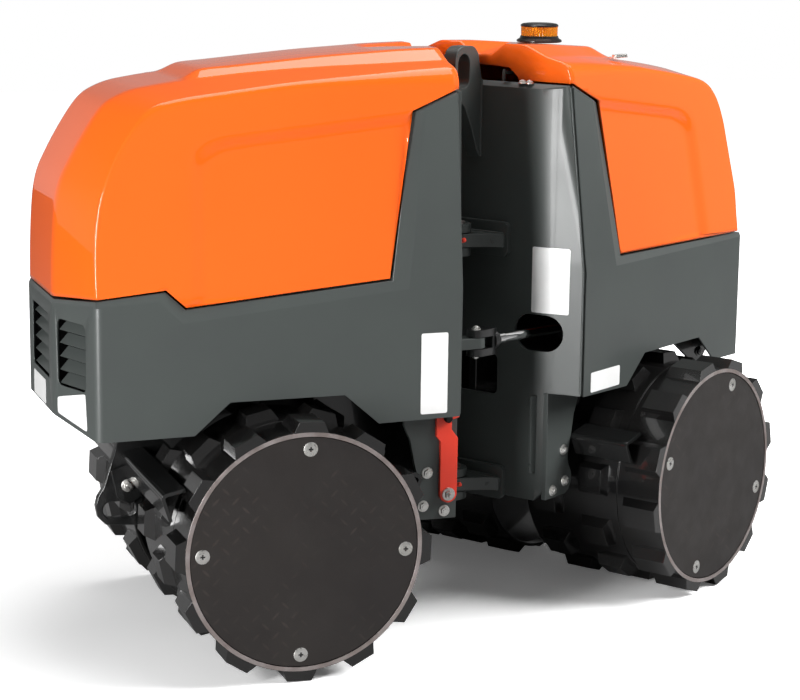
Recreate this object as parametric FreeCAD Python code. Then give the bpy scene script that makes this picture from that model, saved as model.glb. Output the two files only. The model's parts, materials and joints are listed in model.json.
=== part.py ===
"""Articulated trench roller: two drum modules joined at one upright two-pin hinge.

Each module is modelled in its own frame: origin on the floor under its axle, +X towards the
steering hinge, +Z up.  The rear module is then turned to face the front one, and the whole
machine is bent at the hinge to the angle at which it stands parked.
"""
import FreeCAD, Part
import math
import os

Vector = FreeCAD.Vector
os.makedirs("parts", exist_ok=True)

# ---------------------------------------------------------------- driving dimensions, mm
# drums
PAD_RADIUS = 280.0            # over the pads: also the height of the axle
SHELL_RADIUS = 262.0          # the rolled steel shell under the pads
SHELL_WALL = 12.0
MACHINE_WIDTH = 850.0         # over the extension rings
EXTENSION_WIDTH = 112.0       # bolted ring that widens each drum
CENTRE_GAP = 110.0            # between the two drums of a module
PADS_PER_ROW = 12
DRUM_ROLL = {"front": 2.6, "rear": -18.3}   # how far each pair has rolled at rest, degrees
PAD_LENGTH = 78.0             # along the axle, at the root
PAD_ROOT = 76.0               # round the drum, at the root
PAD_TIP = 54.0                # round the drum, at the tip
PAD_TIP_LENGTH = 62.0
MAIN_ROWS = 2                 # rows of pads on the main drum
RING_PAD_INSET = 17.0         # from the ring's seam to its pads, which end flush outside
RING_PAD_SLOPE = 11.0
COVER_THICKNESS = 8.0
WEB_THICKNESS = 16.0
AXLE_RADIUS = 60.0
RUNNING_GAP = 0.3

# steering hinge
HINGE_REACH = 484.0           # axle to hinge, the same in both modules
REST_BEND = 33.0              # degrees: parked on its steering stop
PIN_RADIUS = 16.0
UPPER_PIN_HEIGHT = 860.0
LOWER_PIN_HEIGHT = 291.0
TONGUE_THICKNESS = 30.0
EAR_THICKNESS = 20.0
EAR_GAP = 2.0
EAR_RADIUS = 36.0
EAR_ROOT_HALF = 70.0
FLANGE_HALF = 92.0
FLANGE_HEIGHT = 68.0
FLANGE_THICKNESS = 12.0

# body
BODY_HALF = 296.0             # half width over the side plates
PLATE = 8.0
FOLD_HEIGHT = 781.0           # the sides lean inwards above this line
LEAN = 0.111                  # mm inwards for each mm up
SKIRT_BOTTOM = 514.0
ARCH_TOP = 581.0
ARCH_TOP_HALF = 126.0
ARCH_FOOT_HALF = 203.0
COLUMN_EDGE = 388.0           # end of the side plates towards the hinge
COLUMN_FOOT = 233.0
COLUMN_KNEE = (287.0, 1172.0)
WALL_TOP = 1216.0
WALL_FACE = 415.0             # middle of the end wall, hinge side
WALL_THICKNESS = 10.0
WALL_FLAT_HALF = 165.0
WALL_BEND_HALF = 225.0        # where the rounded bend ends and the straight wing starts
WALL_BEND_DEPTH = 11.0
WALL_BOTTOM = 262.0
WALL_CORNER_CUT = 22.0
NOSE_DEPTH = 59.0             # how far the middle facet stands ahead of the corners
NOSE_FACET_HALF = 133.0
NOSE_FOOT = 543.0             # underside of the middle facet
NOSE_CORNER_FOOT = 512.0
FRONT_CORNER = -408.0
REAR_CORNER = -314.0
FRONT_RIM = [(-261.0, 819.0), (-219.0, 781.0)]    # step in the front module's rim
NOSE_RIM = 789.0
CORNER_RIM = 806.0
REAR_RIM = 824.0
COLUMN_RIM = 821.0
OPENING_BOTTOM = 610.0        # air openings in the end panel
OPENING_TOP = 752.0
OPENING_HALF = 96.0
CHAMFER_OPENING = (22.0, 132.0)
SLATS = 5
SLAT_THICKNESS = 3.0
DECK_HEIGHT = 589.0
CARRIER_PLATE = 217.0         # outer face of the lower side plates
CARRIER_THICKNESS = 12.0

# middle plate with the tow eye
WEB_HALF = 10.0
TOW_EYE = (-301.0, 289.0)     # x and z of the slot's middle
TOW_EYE_RADIUS = 18.0
TOW_EYE_LENGTH = 74.0

# scrapers: angle bars along the drums, as (x, z) of the outer corner
SCRAPER_THICKNESS = 8.0
OUTER_SCRAPER = (-301.0, 418.0)
OUTER_SCRAPER_END = {"front": 390.0, "rear": 255.0}
INNER_SCRAPER = {"front": (320.0, 381.0), "rear": (318.0, 407.0)}
INNER_SCRAPER_END = {"front": 260.0, "rear": 368.0}

# hoods
HOOD_WALL = 6.0
HOOD_GAP = 5.0                # between hood and body all round
HOOD_END = 394.0
HOOD_FACET_HALF = 130.0
HOOD_HINGE = (380.0, 1280.0)  # x and z of the hood's hinge axis
HOOD_HINGE_AT = 82.0          # distance of each hinge from the middle
HOOD_HINGE_LENGTH = 38.0
HINGE_PIN_RADIUS = 6.0
KNUCKLE_RADIUS = 10.0
VALLEY_HALF = 58.0
VALLEY_DEPTH = 22.0
VALLEY_LENGTH = 120.0
END_NOTCH_HALF = 104.0
END_NOTCH_TOP = 1291.0

# lifting lug
LUG_THICKNESS = 34.0
LUG_REACH = 33.0              # past the hinge axis
LUG_TOP = 1296.0
LUG_BOTTOM = 1040.0
LUG_EYE = (22.0, 1202.0, 1278.0)   # half width, bottom and top of the oblong eye

# steering cylinder
ROD_PIN = (469.0, -178.0)     # in the front module
BARREL_PIN = (30.0, 236.0)    # in the rear module
CYLINDER_HEIGHT = 655.0
BARREL_RADIUS = 30.0
BARREL_LENGTH = 288.0
BARREL_BORE_START = 50.0
ROD_RADIUS = 11.5
ROD_ENGAGED = 40.0            # length of rod still inside the barrel at rest
BRACKET_THICKNESS = 24.0
BRACKET_HALF = 20.0
YOKE_ARM = 14.0
YOKE_HALF = 20.0
YOKE_REACH = 57.0             # pin to the collar
YOKE_COLLAR = (17.0, 26.0)    # radius and length
YOKE_GAP = 1.0                # bracket to each arm
CYLINDER_PIN_RADIUS = 11.0

# beacon
BEACON_AT = 165.0
BEACON_TOP = 1336.0
BEACON_BASE_RADIUS = 54.0
BEACON_LENS_RADIUS = 43.0

AXLE_HEIGHT = PAD_RADIUS
HALF_WIDTH = MACHINE_WIDTH / 2.0
SHELL_START = CENTRE_GAP / 2.0


# ---------------------------------------------------------------- helpers
def box(x0, x1, y0, y1, z0, z1):
    return Part.makeBox(x1 - x0, y1 - y0, z1 - z0, Vector(x0, y0, z0))


def cylinder(radius, start, end):
    """Round bar from one point to another."""
    line = end.sub(start)
    return Part.makeCylinder(radius, line.Length, start, line)


def prism(points, travel):
    """Extrude the closed polygon through the given 3-D points."""
    wire = Part.makePolygon(points + [points[0]])
    return Part.Face(wire).extrude(travel)


def prism_y(outline, y0, y1):
    """Extrude an (x, z) outline from y0 to y1."""
    return prism([Vector(x, y0, z) for x, z in outline], Vector(0, y1 - y0, 0))


def prism_z(outline, z0, z1):
    """Extrude an (x, y) outline from z0 to z1."""
    return prism([Vector(x, y, z0) for x, y in outline], Vector(0, 0, z1 - z0))


def prism_x(outline, x0, x1):
    """Extrude a (y, z) outline from x0 to x1."""
    return prism([Vector(x0, y, z) for y, z in outline], Vector(x1 - x0, 0, 0))


def fuse(shapes):
    result = shapes[0].multiFuse(shapes[1:]) if len(shapes) > 1 else shapes[0]
    return result.removeSplitter()


def mirrored(shape):
    """The same piece on the other side of the machine's middle plane."""
    return shape.mirror(Vector(0, 0, 0), Vector(0, 1, 0))


def both_sides(shape):
    return Part.makeCompound([shape, mirrored(shape)])


def stadium_y(x0, x1, z, radius, y0, y1):
    """Oblong bar along Y: two round ends at x0 and x1."""
    ends = [Part.makeCylinder(radius, y1 - y0, Vector(x, y0, z), Vector(0, 1, 0)) for x in (x0, x1)]
    return fuse(ends + [box(x0, x1, y0, y1, z - radius, z + radius)])


def side_y(z):
    """Half width of the body at a height."""
    return BODY_HALF - LEAN * max(0.0, z - FOLD_HEIGHT)


# ---------------------------------------------------------------- drums
def pad(root_span, tip_span, angle):
    """One tapered pad between two spans of Y, rooted just inside the shell's surface."""
    root = SHELL_RADIUS - 4.0
    outline = []
    for radius, (y0, y1), width in ((root, root_span, PAD_ROOT), (PAD_RADIUS + 2.0, tip_span, PAD_TIP)):
        corners = [(-width / 2, y0), (width / 2, y0), (width / 2, y1), (-width / 2, y1)]
        points = [Vector(x, y, radius) for x, y in corners]
        outline.append(Part.makePolygon(points + [points[0]]))
    shape = Part.makeLoft(outline, True, True)
    shape = shape.common(Part.makeCylinder(PAD_RADIUS, root_span[1] - root_span[0] + 20,
                                           Vector(0, root_span[0] - 10, 0), Vector(0, 1, 0)))
    shape.rotate(Vector(0, 0, 0), Vector(0, 1, 0), angle)
    return shape


def drum(roll):
    """The +Y drum of a module: shell, web, hub bore and three rows of pads, turned by roll."""
    outer = HALF_WIDTH
    profile = [(SHELL_START, SHELL_RADIUS - SHELL_WALL), (SHELL_START, SHELL_RADIUS),
               (outer, SHELL_RADIUS), (outer, SHELL_RADIUS - SHELL_WALL)]
    wire = Part.makePolygon([Vector(0, y, r) for y, r in profile + profile[:1]])
    shell = Part.Face(wire).revolve(Vector(0, 0, 0), Vector(0, 1, 0), 360)
    web_start = SHELL_START + 12.0
    web = Part.makeCylinder(SHELL_RADIUS - SHELL_WALL + 1.0, WEB_THICKNESS,
                            Vector(0, web_start, 0), Vector(0, 1, 0))
    bore = Part.makeCylinder(AXLE_RADIUS + RUNNING_GAP, WEB_THICKNESS,
                             Vector(0, web_start, 0), Vector(0, 1, 0))
    main_width = outer - EXTENSION_WIDTH - SHELL_START
    rows = []
    for i in range(MAIN_ROWS):
        y = SHELL_START + main_width * (i + 0.5) / MAIN_ROWS
        rows.append(((y - PAD_LENGTH / 2, y + PAD_LENGTH / 2), (y - PAD_TIP_LENGTH / 2, y + PAD_TIP_LENGTH / 2)))
    inner = outer - EXTENSION_WIDTH + RING_PAD_INSET
    rows.append(((inner, outer), (inner + RING_PAD_SLOPE, outer)))
    step = 360.0 / PADS_PER_ROW
    pads = [pad(*spans, roll + step * (i + 0.5 * (row % 2)))
            for row, spans in enumerate(rows) for i in range(PADS_PER_ROW)]
    shape = shell.multiFuse([web.cut(bore)] + pads)
    shape.translate(Vector(0, 0, AXLE_HEIGHT))
    return shape


def cover():
    """Flat disc that closes the drum's outer end, set inside the ring."""
    return Part.makeCylinder(SHELL_RADIUS - SHELL_WALL, COVER_THICKNESS,
                             Vector(0, HALF_WIDTH - COVER_THICKNESS - 1.0, AXLE_HEIGHT), Vector(0, 1, 0))


# ---------------------------------------------------------------- body plates
def rim_outline(corner):
    """Top edge of the side plate from the outer corner to the column, as (x, z) points."""
    if corner == FRONT_CORNER:
        return [(corner, CORNER_RIM)] + FRONT_RIM + [(COLUMN_FOOT, COLUMN_RIM)]
    return [(corner, REAR_RIM - 6.0), (COLUMN_FOOT, COLUMN_RIM)]


def side_plates(corner):
    """Both side plates of a module: skirt, drum arch and the leaning column."""
    outline = [(corner, NOSE_CORNER_FOOT), (-ARCH_FOOT_HALF, SKIRT_BOTTOM), (-ARCH_TOP_HALF, ARCH_TOP),
               (ARCH_TOP_HALF, ARCH_TOP), (ARCH_FOOT_HALF, SKIRT_BOTTOM), (COLUMN_EDGE, SKIRT_BOTTOM + 4.0),
               (COLUMN_EDGE, WALL_TOP), COLUMN_KNEE] + rim_outline(corner)[::-1]
    plate = prism_y(outline, -BODY_HALF, BODY_HALF)
    lower = [(-BODY_HALF, 0), (-BODY_HALF, FOLD_HEIGHT), (-side_y(WALL_TOP + 50), WALL_TOP + 50),
             (-side_y(WALL_TOP + 50) + PLATE, WALL_TOP + 50), (-BODY_HALF + PLATE, FOLD_HEIGHT),
             (-BODY_HALF + PLATE, 0)]
    return both_sides(plate.common(prism_x(lower, -1000, 1000)))


def nose_plan(corner, inset):
    """Plan of the three-facet end, moved inwards by inset."""
    facet = corner - NOSE_DEPTH
    slope = math.atan2(NOSE_DEPTH, BODY_HALF - NOSE_FACET_HALF)
    half = NOSE_FACET_HALF - inset * math.tan(slope / 2.0)
    side = inset / math.cos(slope)
    return facet + inset, half, corner + side


def nose_panel(corner):
    """Folded end panel between the side plates, with the air openings cut."""
    x_mid, half, x_side = nose_plan(corner, 0.0)
    inner_mid, inner_half, inner_side = nose_plan(corner, PLATE)
    edge = BODY_HALF - PLATE
    depth = (x_side - x_mid) / (BODY_HALF - half)
    outer_edge = x_mid + (edge - half) * depth
    inner_edge = inner_mid + (edge - inner_half) * depth
    plan = [(outer_edge, -edge), (x_mid, -half), (x_mid, half), (outer_edge, edge),
            (inner_edge, edge), (inner_mid, inner_half), (inner_mid, -inner_half), (inner_edge, -edge)]
    top = NOSE_RIM if corner == FRONT_CORNER else REAR_RIM - 12.0
    side_top = CORNER_RIM if corner == FRONT_CORNER else REAR_RIM - 6.0
    body = prism_z(plan, 400.0, 900.0)
    keep = prism_y([(x_side + 20, NOSE_CORNER_FOOT), (x_mid - 1, NOSE_FOOT), (x_mid - 1, top),
                    (x_side + 20, side_top)], -BODY_HALF, BODY_HALF)
    body = body.common(keep)
    for opening in nose_openings(corner):
        body = body.cut(opening)
    return body.cut(side_plates(corner))


def facet_frame(corner):
    """Turn that carries the middle opening round onto the +Y chamfer facet."""
    slope = math.degrees(math.atan2(NOSE_DEPTH, BODY_HALF - NOSE_FACET_HALF))
    return Vector(corner - NOSE_DEPTH, NOSE_FACET_HALF, 0), slope


def rounded_opening(x, y0, y1, z0, z1, radius=14.0):
    block = box(x - 30, x + 40, y0, y1, z0, z1)
    edges = [e for e in block.Edges if abs(e.tangentAt(e.FirstParameter).x) > 0.99]
    return block.makeFillet(radius, edges)


def on_chamfer(shape, corner):
    """Place a shape drawn beside the facet's edge on the plane x = 0 onto the +Y chamfer."""
    pivot, slope = facet_frame(corner)
    shape = shape.copy()
    shape.translate(pivot)
    shape.rotate(pivot, Vector(0, 0, 1), -slope)
    return shape


def nose_openings(corner):
    middle = rounded_opening(corner - NOSE_DEPTH, -OPENING_HALF, OPENING_HALF, OPENING_BOTTOM, OPENING_TOP)
    flank = on_chamfer(rounded_opening(0, CHAMFER_OPENING[0], CHAMFER_OPENING[1],
                                       OPENING_BOTTOM, OPENING_TOP), corner)
    return [middle, flank, mirrored(flank)]


def slat_set(x, y0, y1):
    """Tilted air slats that span one opening."""
    pitch = (OPENING_TOP - OPENING_BOTTOM) / SLATS
    rise = pitch * 0.62
    slats = []
    for i in range(SLATS):
        z = OPENING_BOTTOM + pitch * (i + 0.19)
        outline = [(x + 1.0, z), (x + 1.0 + SLAT_THICKNESS, z), (x + 22.0, z + rise),
                   (x + 22.0 - SLAT_THICKNESS, z + rise)]
        slats.append(prism_y(outline, y0, y1))
    return slats


def nose_slats(corner):
    panel = nose_panel(corner)
    middle = [s.cut(panel) for s in slat_set(corner - NOSE_DEPTH, -OPENING_HALF, OPENING_HALF)]
    flank = [on_chamfer(s, corner).cut(panel) for s in slat_set(0, *CHAMFER_OPENING)]
    return Part.makeCompound(middle + flank + [mirrored(s) for s in flank])


def wall_plan(inset):
    """Plan of one face of the end wall: flat middle, rounded bends, straight wings."""
    wing = [(COLUMN_EDGE - inset, BODY_HALF - PLATE), (WALL_FACE - WALL_BEND_DEPTH - inset, WALL_BEND_HALF)]
    bend = []
    for i in range(1, 5):
        t = i / 5.0
        y = WALL_BEND_HALF + (WALL_FLAT_HALF - WALL_BEND_HALF) * t
        bend.append((WALL_FACE - inset - WALL_BEND_DEPTH * (1.0 - t) ** 2, y))
    half = wing + bend + [(WALL_FACE - inset, WALL_FLAT_HALF)]
    return half + [(x, -y) for x, y in reversed(half)]


def end_wall():
    """Wall towards the hinge: flat middle, cranked wings, and a narrower foot."""
    wall = prism_z(wall_plan(0.0) + wall_plan(WALL_THICKNESS)[::-1], WALL_BOTTOM, WALL_TOP)
    foot = CARRIER_PLATE - CARRIER_THICKNESS
    half = [(foot - WALL_CORNER_CUT, WALL_BOTTOM), (foot, WALL_BOTTOM + WALL_CORNER_CUT),
            (foot, SKIRT_BOTTOM + 4.0), (BODY_HALF - PLATE, SKIRT_BOTTOM + 4.0),
            (BODY_HALF - PLATE, FOLD_HEIGHT), (side_y(WALL_TOP) - PLATE, WALL_TOP)]
    return wall.common(prism_x(half + [(-y, z) for y, z in reversed(half)], 300, 500))


def deck(corner):
    """Floor plate that carries the machinery, between the side plates."""
    start = corner + 12.0
    return box(start, WALL_FACE - WALL_THICKNESS - 30.0, -BODY_HALF + PLATE, BODY_HALF - PLATE,
               DECK_HEIGHT, DECK_HEIGHT + PLATE)


def lower_side_plates():
    """Plates under the column that carry the inner scrapers and stiffen the end wall's foot."""
    wing_foot = SKIRT_BOTTOM + 4.0
    outline = [(WALL_FACE - 2.0, WALL_BOTTOM + 6.0), (WALL_FACE - 2.0, wing_foot), (370.0, wing_foot),
               (370.0, DECK_HEIGHT), (300.0, DECK_HEIGHT), (288.0, 486.0), (303.0, 452.0), (313.0, 400.0),
               (323.0, 360.0), (322.0, 344.0), (311.0, 325.0), (306.0, 307.0), (314.0, 284.0),
               (333.0, WALL_BOTTOM + 6.0)]
    return both_sides(prism_y(outline, -CARRIER_PLATE, -CARRIER_PLATE + CARRIER_THICKNESS))


def drum_carrier():
    """Middle plate and housing between the drums, with the tow eye in its outer end."""
    outline = [(-285.0, DECK_HEIGHT), (-307.0, 433.0), (-336.0, 340.0), (-349.0, 320.0), (-354.0, 300.0),
               (-349.0, 274.0), (-332.0, 256.0), (-250.0, 249.0), (-248.0, 340.0), (-215.0, 370.0),
               (-110.0, 190.0), (110.0, 190.0), (300.0, 300.0), (WALL_FACE - WALL_THICKNESS, 300.0),
               (WALL_FACE - WALL_THICKNESS, DECK_HEIGHT)]
    web = prism_y(outline, -WEB_HALF, WEB_HALF)
    x, z = TOW_EYE
    reach = TOW_EYE_LENGTH / 2 - TOW_EYE_RADIUS
    slot = stadium_y(x - reach, x + reach, z, TOW_EYE_RADIUS, -2 * WEB_HALF, 2 * WEB_HALF)
    housing = Part.makeCylinder(115.0, 80.0, Vector(0, -40.0, AXLE_HEIGHT), Vector(0, 1, 0))
    hanger = prism_y([(-105.0, AXLE_HEIGHT), (105.0, AXLE_HEIGHT), (150.0, DECK_HEIGHT),
                      (-150.0, DECK_HEIGHT)], -40.0, 40.0)
    return fuse([web.cut(slot), housing, hanger])


def axle():
    """Stub shafts on both sides of the middle housing."""
    stub = Part.makeCylinder(AXLE_RADIUS, SHELL_START + 12.0 + WEB_THICKNESS + 6.0 - 40.0,
                             Vector(0, 40.0, AXLE_HEIGHT), Vector(0, 1, 0))
    return both_sides(stub)


def angle_bar(corner, flange, web, y0, y1):
    """Bar of two legs that meet at the outer corner; each leg is (degrees above +X, length)."""
    (a, long_a), (b, long_b) = flange, web
    u = (math.cos(math.radians(a)), math.sin(math.radians(a)))
    v = (math.cos(math.radians(b)), math.sin(math.radians(b)))
    t = SCRAPER_THICKNESS / abs(math.sin(math.radians(a - b)))
    steps = [(0, 0), (long_a, 0), (long_a, t), (t, t), (t, long_b), (0, long_b)]
    x, z = corner
    return prism_y([(x + m * u[0] + n * v[0], z + m * u[1] + n * v[1]) for m, n in steps], y0, y1)


def outer_scrapers(module):
    """Scraper bars on the outer side of the drums, carried by the middle plate."""
    end = OUTER_SCRAPER_END[module]
    return both_sides(angle_bar(OUTER_SCRAPER, (11.0, 54.0), (-72.0, 62.0), WEB_HALF, end))


def inner_scrapers(module):
    """Scraper bars on the hinge side of the drums, carried by the lower side plates."""
    flange = (161.0, 61.0) if module == "front" else (167.0, 68.0)
    web = (-111.0, 60.0) if module == "front" else (-117.0, 56.0)
    end = INNER_SCRAPER_END[module]
    return both_sides(angle_bar(INNER_SCRAPER[module], flange, web, CARRIER_PLATE, end))


def lock_bar():
    """Steering lock bar, parked upright on the near lower side plate of the front module."""
    arc = [(391.0 + 20.0 * math.cos(math.radians(d)), 326.0 + 20.0 * math.sin(math.radians(d)))
           for d in range(180, 361, 20)]
    outline = arc + [(412.0, 455.0), (397.0, 472.0), (397.0, 512.0), (388.0, 514.0), (388.0, 540.0),
                     (361.0, 540.0), (361.0, 458.0), (371.0, 448.0)]
    return prism_y(outline, -CARRIER_PLATE - 10.0, -CARRIER_PLATE)


# ---------------------------------------------------------------- steering hinge
def ear_outline(root_half, radius, x_root):
    """Plan of an ear: wide at the wall, round at the pin."""
    arc = [(HINGE_REACH + radius * math.cos(a), radius * math.sin(a))
           for a in [math.radians(d) for d in range(-70, 71, 20)]]
    return [(x_root, -root_half)] + arc + [(x_root, root_half)]


def fork_ears():
    """Two ears above and below each tongue, on the front module's end wall."""
    ears = []
    for height in (UPPER_PIN_HEIGHT, LOWER_PIN_HEIGHT):
        for side in (-1, 1):
            middle = height + side * (TONGUE_THICKNESS / 2 + EAR_GAP + EAR_THICKNESS / 2)
            ear = prism_z(ear_outline(EAR_ROOT_HALF, EAR_RADIUS, WALL_FACE),
                          middle - EAR_THICKNESS / 2, middle + EAR_THICKNESS / 2)
            ears.append(ear.cut(pin_bar(0.0)))
    return Part.makeCompound(ears)


def pin_bar(gap):
    """Both hinge pins' space, with a running gap."""
    return Part.makeCylinder(PIN_RADIUS + gap, 1200.0, Vector(HINGE_REACH, 0, 0), Vector(0, 0, 1))


def pins():
    half = TONGUE_THICKNESS / 2 + EAR_GAP + EAR_THICKNESS
    bars = [Part.makeCylinder(PIN_RADIUS, 2 * half, Vector(HINGE_REACH, 0, h - half), Vector(0, 0, 1))
            for h in (UPPER_PIN_HEIGHT, LOWER_PIN_HEIGHT)]
    return Part.makeCompound(bars)


def tongues():
    """Single tongues on the rear module's end wall, each on its welded flange."""
    arms = []
    for height in (UPPER_PIN_HEIGHT, LOWER_PIN_HEIGHT):
        arm = prism_z(ear_outline(FLANGE_HALF - 8.0, EAR_RADIUS - 2.0, WALL_FACE + FLANGE_THICKNESS),
                      height - TONGUE_THICKNESS / 2, height + TONGUE_THICKNESS / 2)
        flange = box(WALL_FACE, WALL_FACE + FLANGE_THICKNESS, -FLANGE_HALF, FLANGE_HALF,
                     height - FLANGE_HEIGHT / 2, height + FLANGE_HEIGHT / 2)
        arms.append(fuse([arm, flange]).cut(pin_bar(RUNNING_GAP)))
    return Part.makeCompound(arms)


def lifting_lug():
    """Upright lifting plate on the rear wall; its oblong eye stands over the hinge axis."""
    tip = HINGE_REACH + LUG_REACH
    outline = [(WALL_FACE, LUG_BOTTOM), (WALL_FACE, WALL_TOP + 6), (WALL_FACE + 10, 1262.0),
               (WALL_FACE + 28, LUG_TOP - 8), (WALL_FACE + 44, LUG_TOP), (tip - 22, LUG_TOP),
               (tip - 6, LUG_TOP - 12), (tip, 1268.0), (tip, 1200.0), (tip - 14, 1178.0),
               (HINGE_REACH - 6, 1160.0), (HINGE_REACH - 34, 1110.0), (WALL_FACE + 14, 1060.0)]
    plate = prism_y(outline, -LUG_THICKNESS / 2, LUG_THICKNESS / 2)
    half, low, high = LUG_EYE
    eye = [Part.makeCylinder(half, LUG_THICKNESS, Vector(HINGE_REACH, -LUG_THICKNESS / 2, z), Vector(0, 1, 0))
           for z in (low + half, high - half)]
    eye.append(box(HINGE_REACH - half, HINGE_REACH + half, -LUG_THICKNESS / 2, LUG_THICKNESS / 2,
                   low + half, high - half))
    return plate.cut(fuse(eye))


# ---------------------------------------------------------------- hoods
FRONT_SIDE = [(-407, 700), (-407, 890), (-389, 1010), (-341, 1109), (-295, 1166), (-268, 1191), (-175, 1211),
              (39, 1236), (257, 1253), (400, 1262)]
FRONT_MIDDLE = [(-466, 700), (-463, 900), (-450, 1022), (-404, 1117), (-366, 1174), (-322, 1209),
                (-229, 1233), (39, 1261), (257, 1274), (400, 1279)]
FRONT_PLATEAU = [(-192, 105, 1236, 136, 1232), (-145, 105, 1261, 140, 1238), (77, 110, 1282, 152, 1262),
                 (302, 117, 1298, 170, 1273), (400, 119, 1301, 177, 1276)]
REAR_SIDE = [(-305, 700), (-303, 926), (-291, 990), (-267, 1100), (-246, 1151), (-218, 1181), (-175, 1206),
             (39, 1236), (257, 1253), (400, 1262)]
REAR_MIDDLE = [(-364, 700), (-362, 930), (-350, 995), (-326, 1106), (-304, 1158), (-270, 1196),
               (-225, 1217), (39, 1256), (257, 1274), (400, 1279)]
REAR_PLATEAU = [(58, 110, 1257, 146, 1252), (108, 110, 1285, 152, 1262), (302, 117, 1298, 170, 1273),
                (400, 119, 1301, 177, 1276)]


def inset_profile(profile, inset):
    """Move an end-and-roof profile inwards by the wall's thickness."""
    moved = []
    for i, (x, z) in enumerate(profile):
        before = profile[max(i - 1, 0)]
        after = profile[min(i + 1, len(profile) - 1)]
        dx, dz = after[0] - before[0], after[1] - before[1]
        length = math.hypot(dx, dz)
        moved.append((x + inset * dz / length, z - inset * dx / length))
    return moved


def hood_block(side, middle, plateau, inset):
    """Solid block inside the hood's outer surface, moved inwards by inset."""
    end = HOOD_END - inset
    wires = []
    for sign, profile, facet in ((-1, side, False), (-1, middle, True), (1, middle, True), (1, side, False)):
        moved = inset_profile(profile, inset)
        moved[-1] = (end, moved[-1][1])
        moved.append((end, profile[0][1]))
        points = []
        for x, z in moved:
            flank = BODY_HALF - LEAN * (z - FOLD_HEIGHT) - inset
            points.append(Vector(x, sign * (HOOD_FACET_HALF if facet else flank), z))
        wires.append(Part.makePolygon(points + [points[0]]))
    block = Part.makeLoft(wires, True, True)
    sections = []
    for x, top_half, top, foot_half, foot in plateau:
        x = min(x, end)
        half_top, half_foot = top_half - 0.4 * inset, foot_half - 0.4 * inset
        points = [Vector(x, -half_foot, 1150), Vector(x, -half_foot, foot - inset),
                  Vector(x, -half_top, top - inset), Vector(x, half_top, top - inset),
                  Vector(x, half_foot, foot - inset), Vector(x, half_foot, 1150)]
        sections.append(Part.makePolygon(points + [points[0]]))
    return block.fuse(Part.makeLoft(sections, True, True))


def hood(side, middle, plateau, corner):
    outer = hood_block(side, middle, plateau, 0.0)
    inner = hood_block(side, middle, plateau, HOOD_WALL)
    below = [(-600, 600), (600, 600), (600, WALL_TOP + HOOD_GAP), (COLUMN_EDGE, WALL_TOP + HOOD_GAP),
             (COLUMN_KNEE[0] - 1.0, COLUMN_KNEE[1] + HOOD_GAP), (COLUMN_FOOT - HOOD_GAP, COLUMN_RIM + HOOD_GAP)]
    rim = [(x, z + HOOD_GAP) for x, z in rim_outline(corner)[:-1]]
    below += rim[::-1]
    below += [(-600, rim[0][1] - 12.0)]
    skin = outer.cut(inner).cut(prism_y(below, -500, 500))
    top = plateau[-1][2]
    valley = prism_x([(-VALLEY_HALF, top + 5), (-VALLEY_HALF * 0.45, top - VALLEY_DEPTH),
                      (VALLEY_HALF * 0.45, top - VALLEY_DEPTH), (VALLEY_HALF, top + 5)], 0, VALLEY_LENGTH + 60)
    tilt = math.degrees(math.atan2(VALLEY_DEPTH + 4.0, VALLEY_LENGTH))
    valley.rotate(Vector(VALLEY_LENGTH, 0, top - VALLEY_DEPTH), Vector(0, 1, 0), tilt)
    valley.translate(Vector(HOOD_END - VALLEY_LENGTH, 0, 0))
    floor = valley.copy()
    floor.translate(Vector(0, 0, -HOOD_WALL))
    liner = floor.cut(valley).common(hood_block(side, middle, plateau, HOOD_WALL * 0.5))
    skin = skin.cut(valley).fuse(liner)
    notch = box(HOOD_END - 24.0, HOOD_END + 5.0, -END_NOTCH_HALF, END_NOTCH_HALF, 1100, END_NOTCH_TOP)
    knuckles = hood_hinge_knuckles(hood_block(side, middle, plateau, HOOD_WALL * 0.5))
    bore = Part.makeCylinder(HINGE_PIN_RADIUS + RUNNING_GAP, 300.0,
                             Vector(HOOD_HINGE[0], -150.0, HOOD_HINGE[1]), Vector(0, 1, 0))
    return fuse([skin.cut(notch)] + knuckles).cut(bore)


def hood_hinge_brackets():
    """Hinge pins of the hood, each between two legs welded to the end wall's top edge."""
    x, z = HOOD_HINGE
    head = HINGE_PIN_RADIUS + 3.0
    leg = 6.0
    half = HOOD_HINGE_LENGTH / 2
    pieces = [Part.makeCylinder(HINGE_PIN_RADIUS, HOOD_HINGE_LENGTH, Vector(x, HOOD_HINGE_AT - half, z),
                                Vector(0, 1, 0))]
    outline = [(x - head, z), (x + head, z), (WALL_FACE, WALL_TOP + 8), (WALL_FACE, WALL_TOP),
               (WALL_FACE - WALL_THICKNESS, WALL_TOP)]
    for y in (HOOD_HINGE_AT - half, HOOD_HINGE_AT + half - leg):
        pieces.append(prism_y(outline, y, y + leg))
        pieces.append(Part.makeCylinder(head, leg, Vector(x, y, z), Vector(0, 1, 0)))
    return both_sides(fuse(pieces))


def hood_hinge_knuckles(roof):
    """Knuckles under the hood's roof that turn on the hinge pins."""
    x, z = HOOD_HINGE
    length = HOOD_HINGE_LENGTH - 14.0
    start = HOOD_HINGE_AT - length / 2
    knuckle = Part.makeCylinder(KNUCKLE_RADIUS, length, Vector(x, start, z), Vector(0, 1, 0))
    riser = box(x - 12.0, x + 4.0, start, start + length, z, z + 60.0)
    one = fuse([knuckle, riser.common(roof)])
    return [one, mirrored(one)]


def beacon_base():
    z = beacon_seat()
    foot = Part.makeCylinder(BEACON_BASE_RADIUS, 12.0, Vector(BEACON_AT, 0, z))
    collar = Part.makeCylinder(BEACON_LENS_RADIUS + 1.0, 8.0, Vector(BEACON_AT, 0, z + 12.0))
    return fuse([foot, collar])


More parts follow.
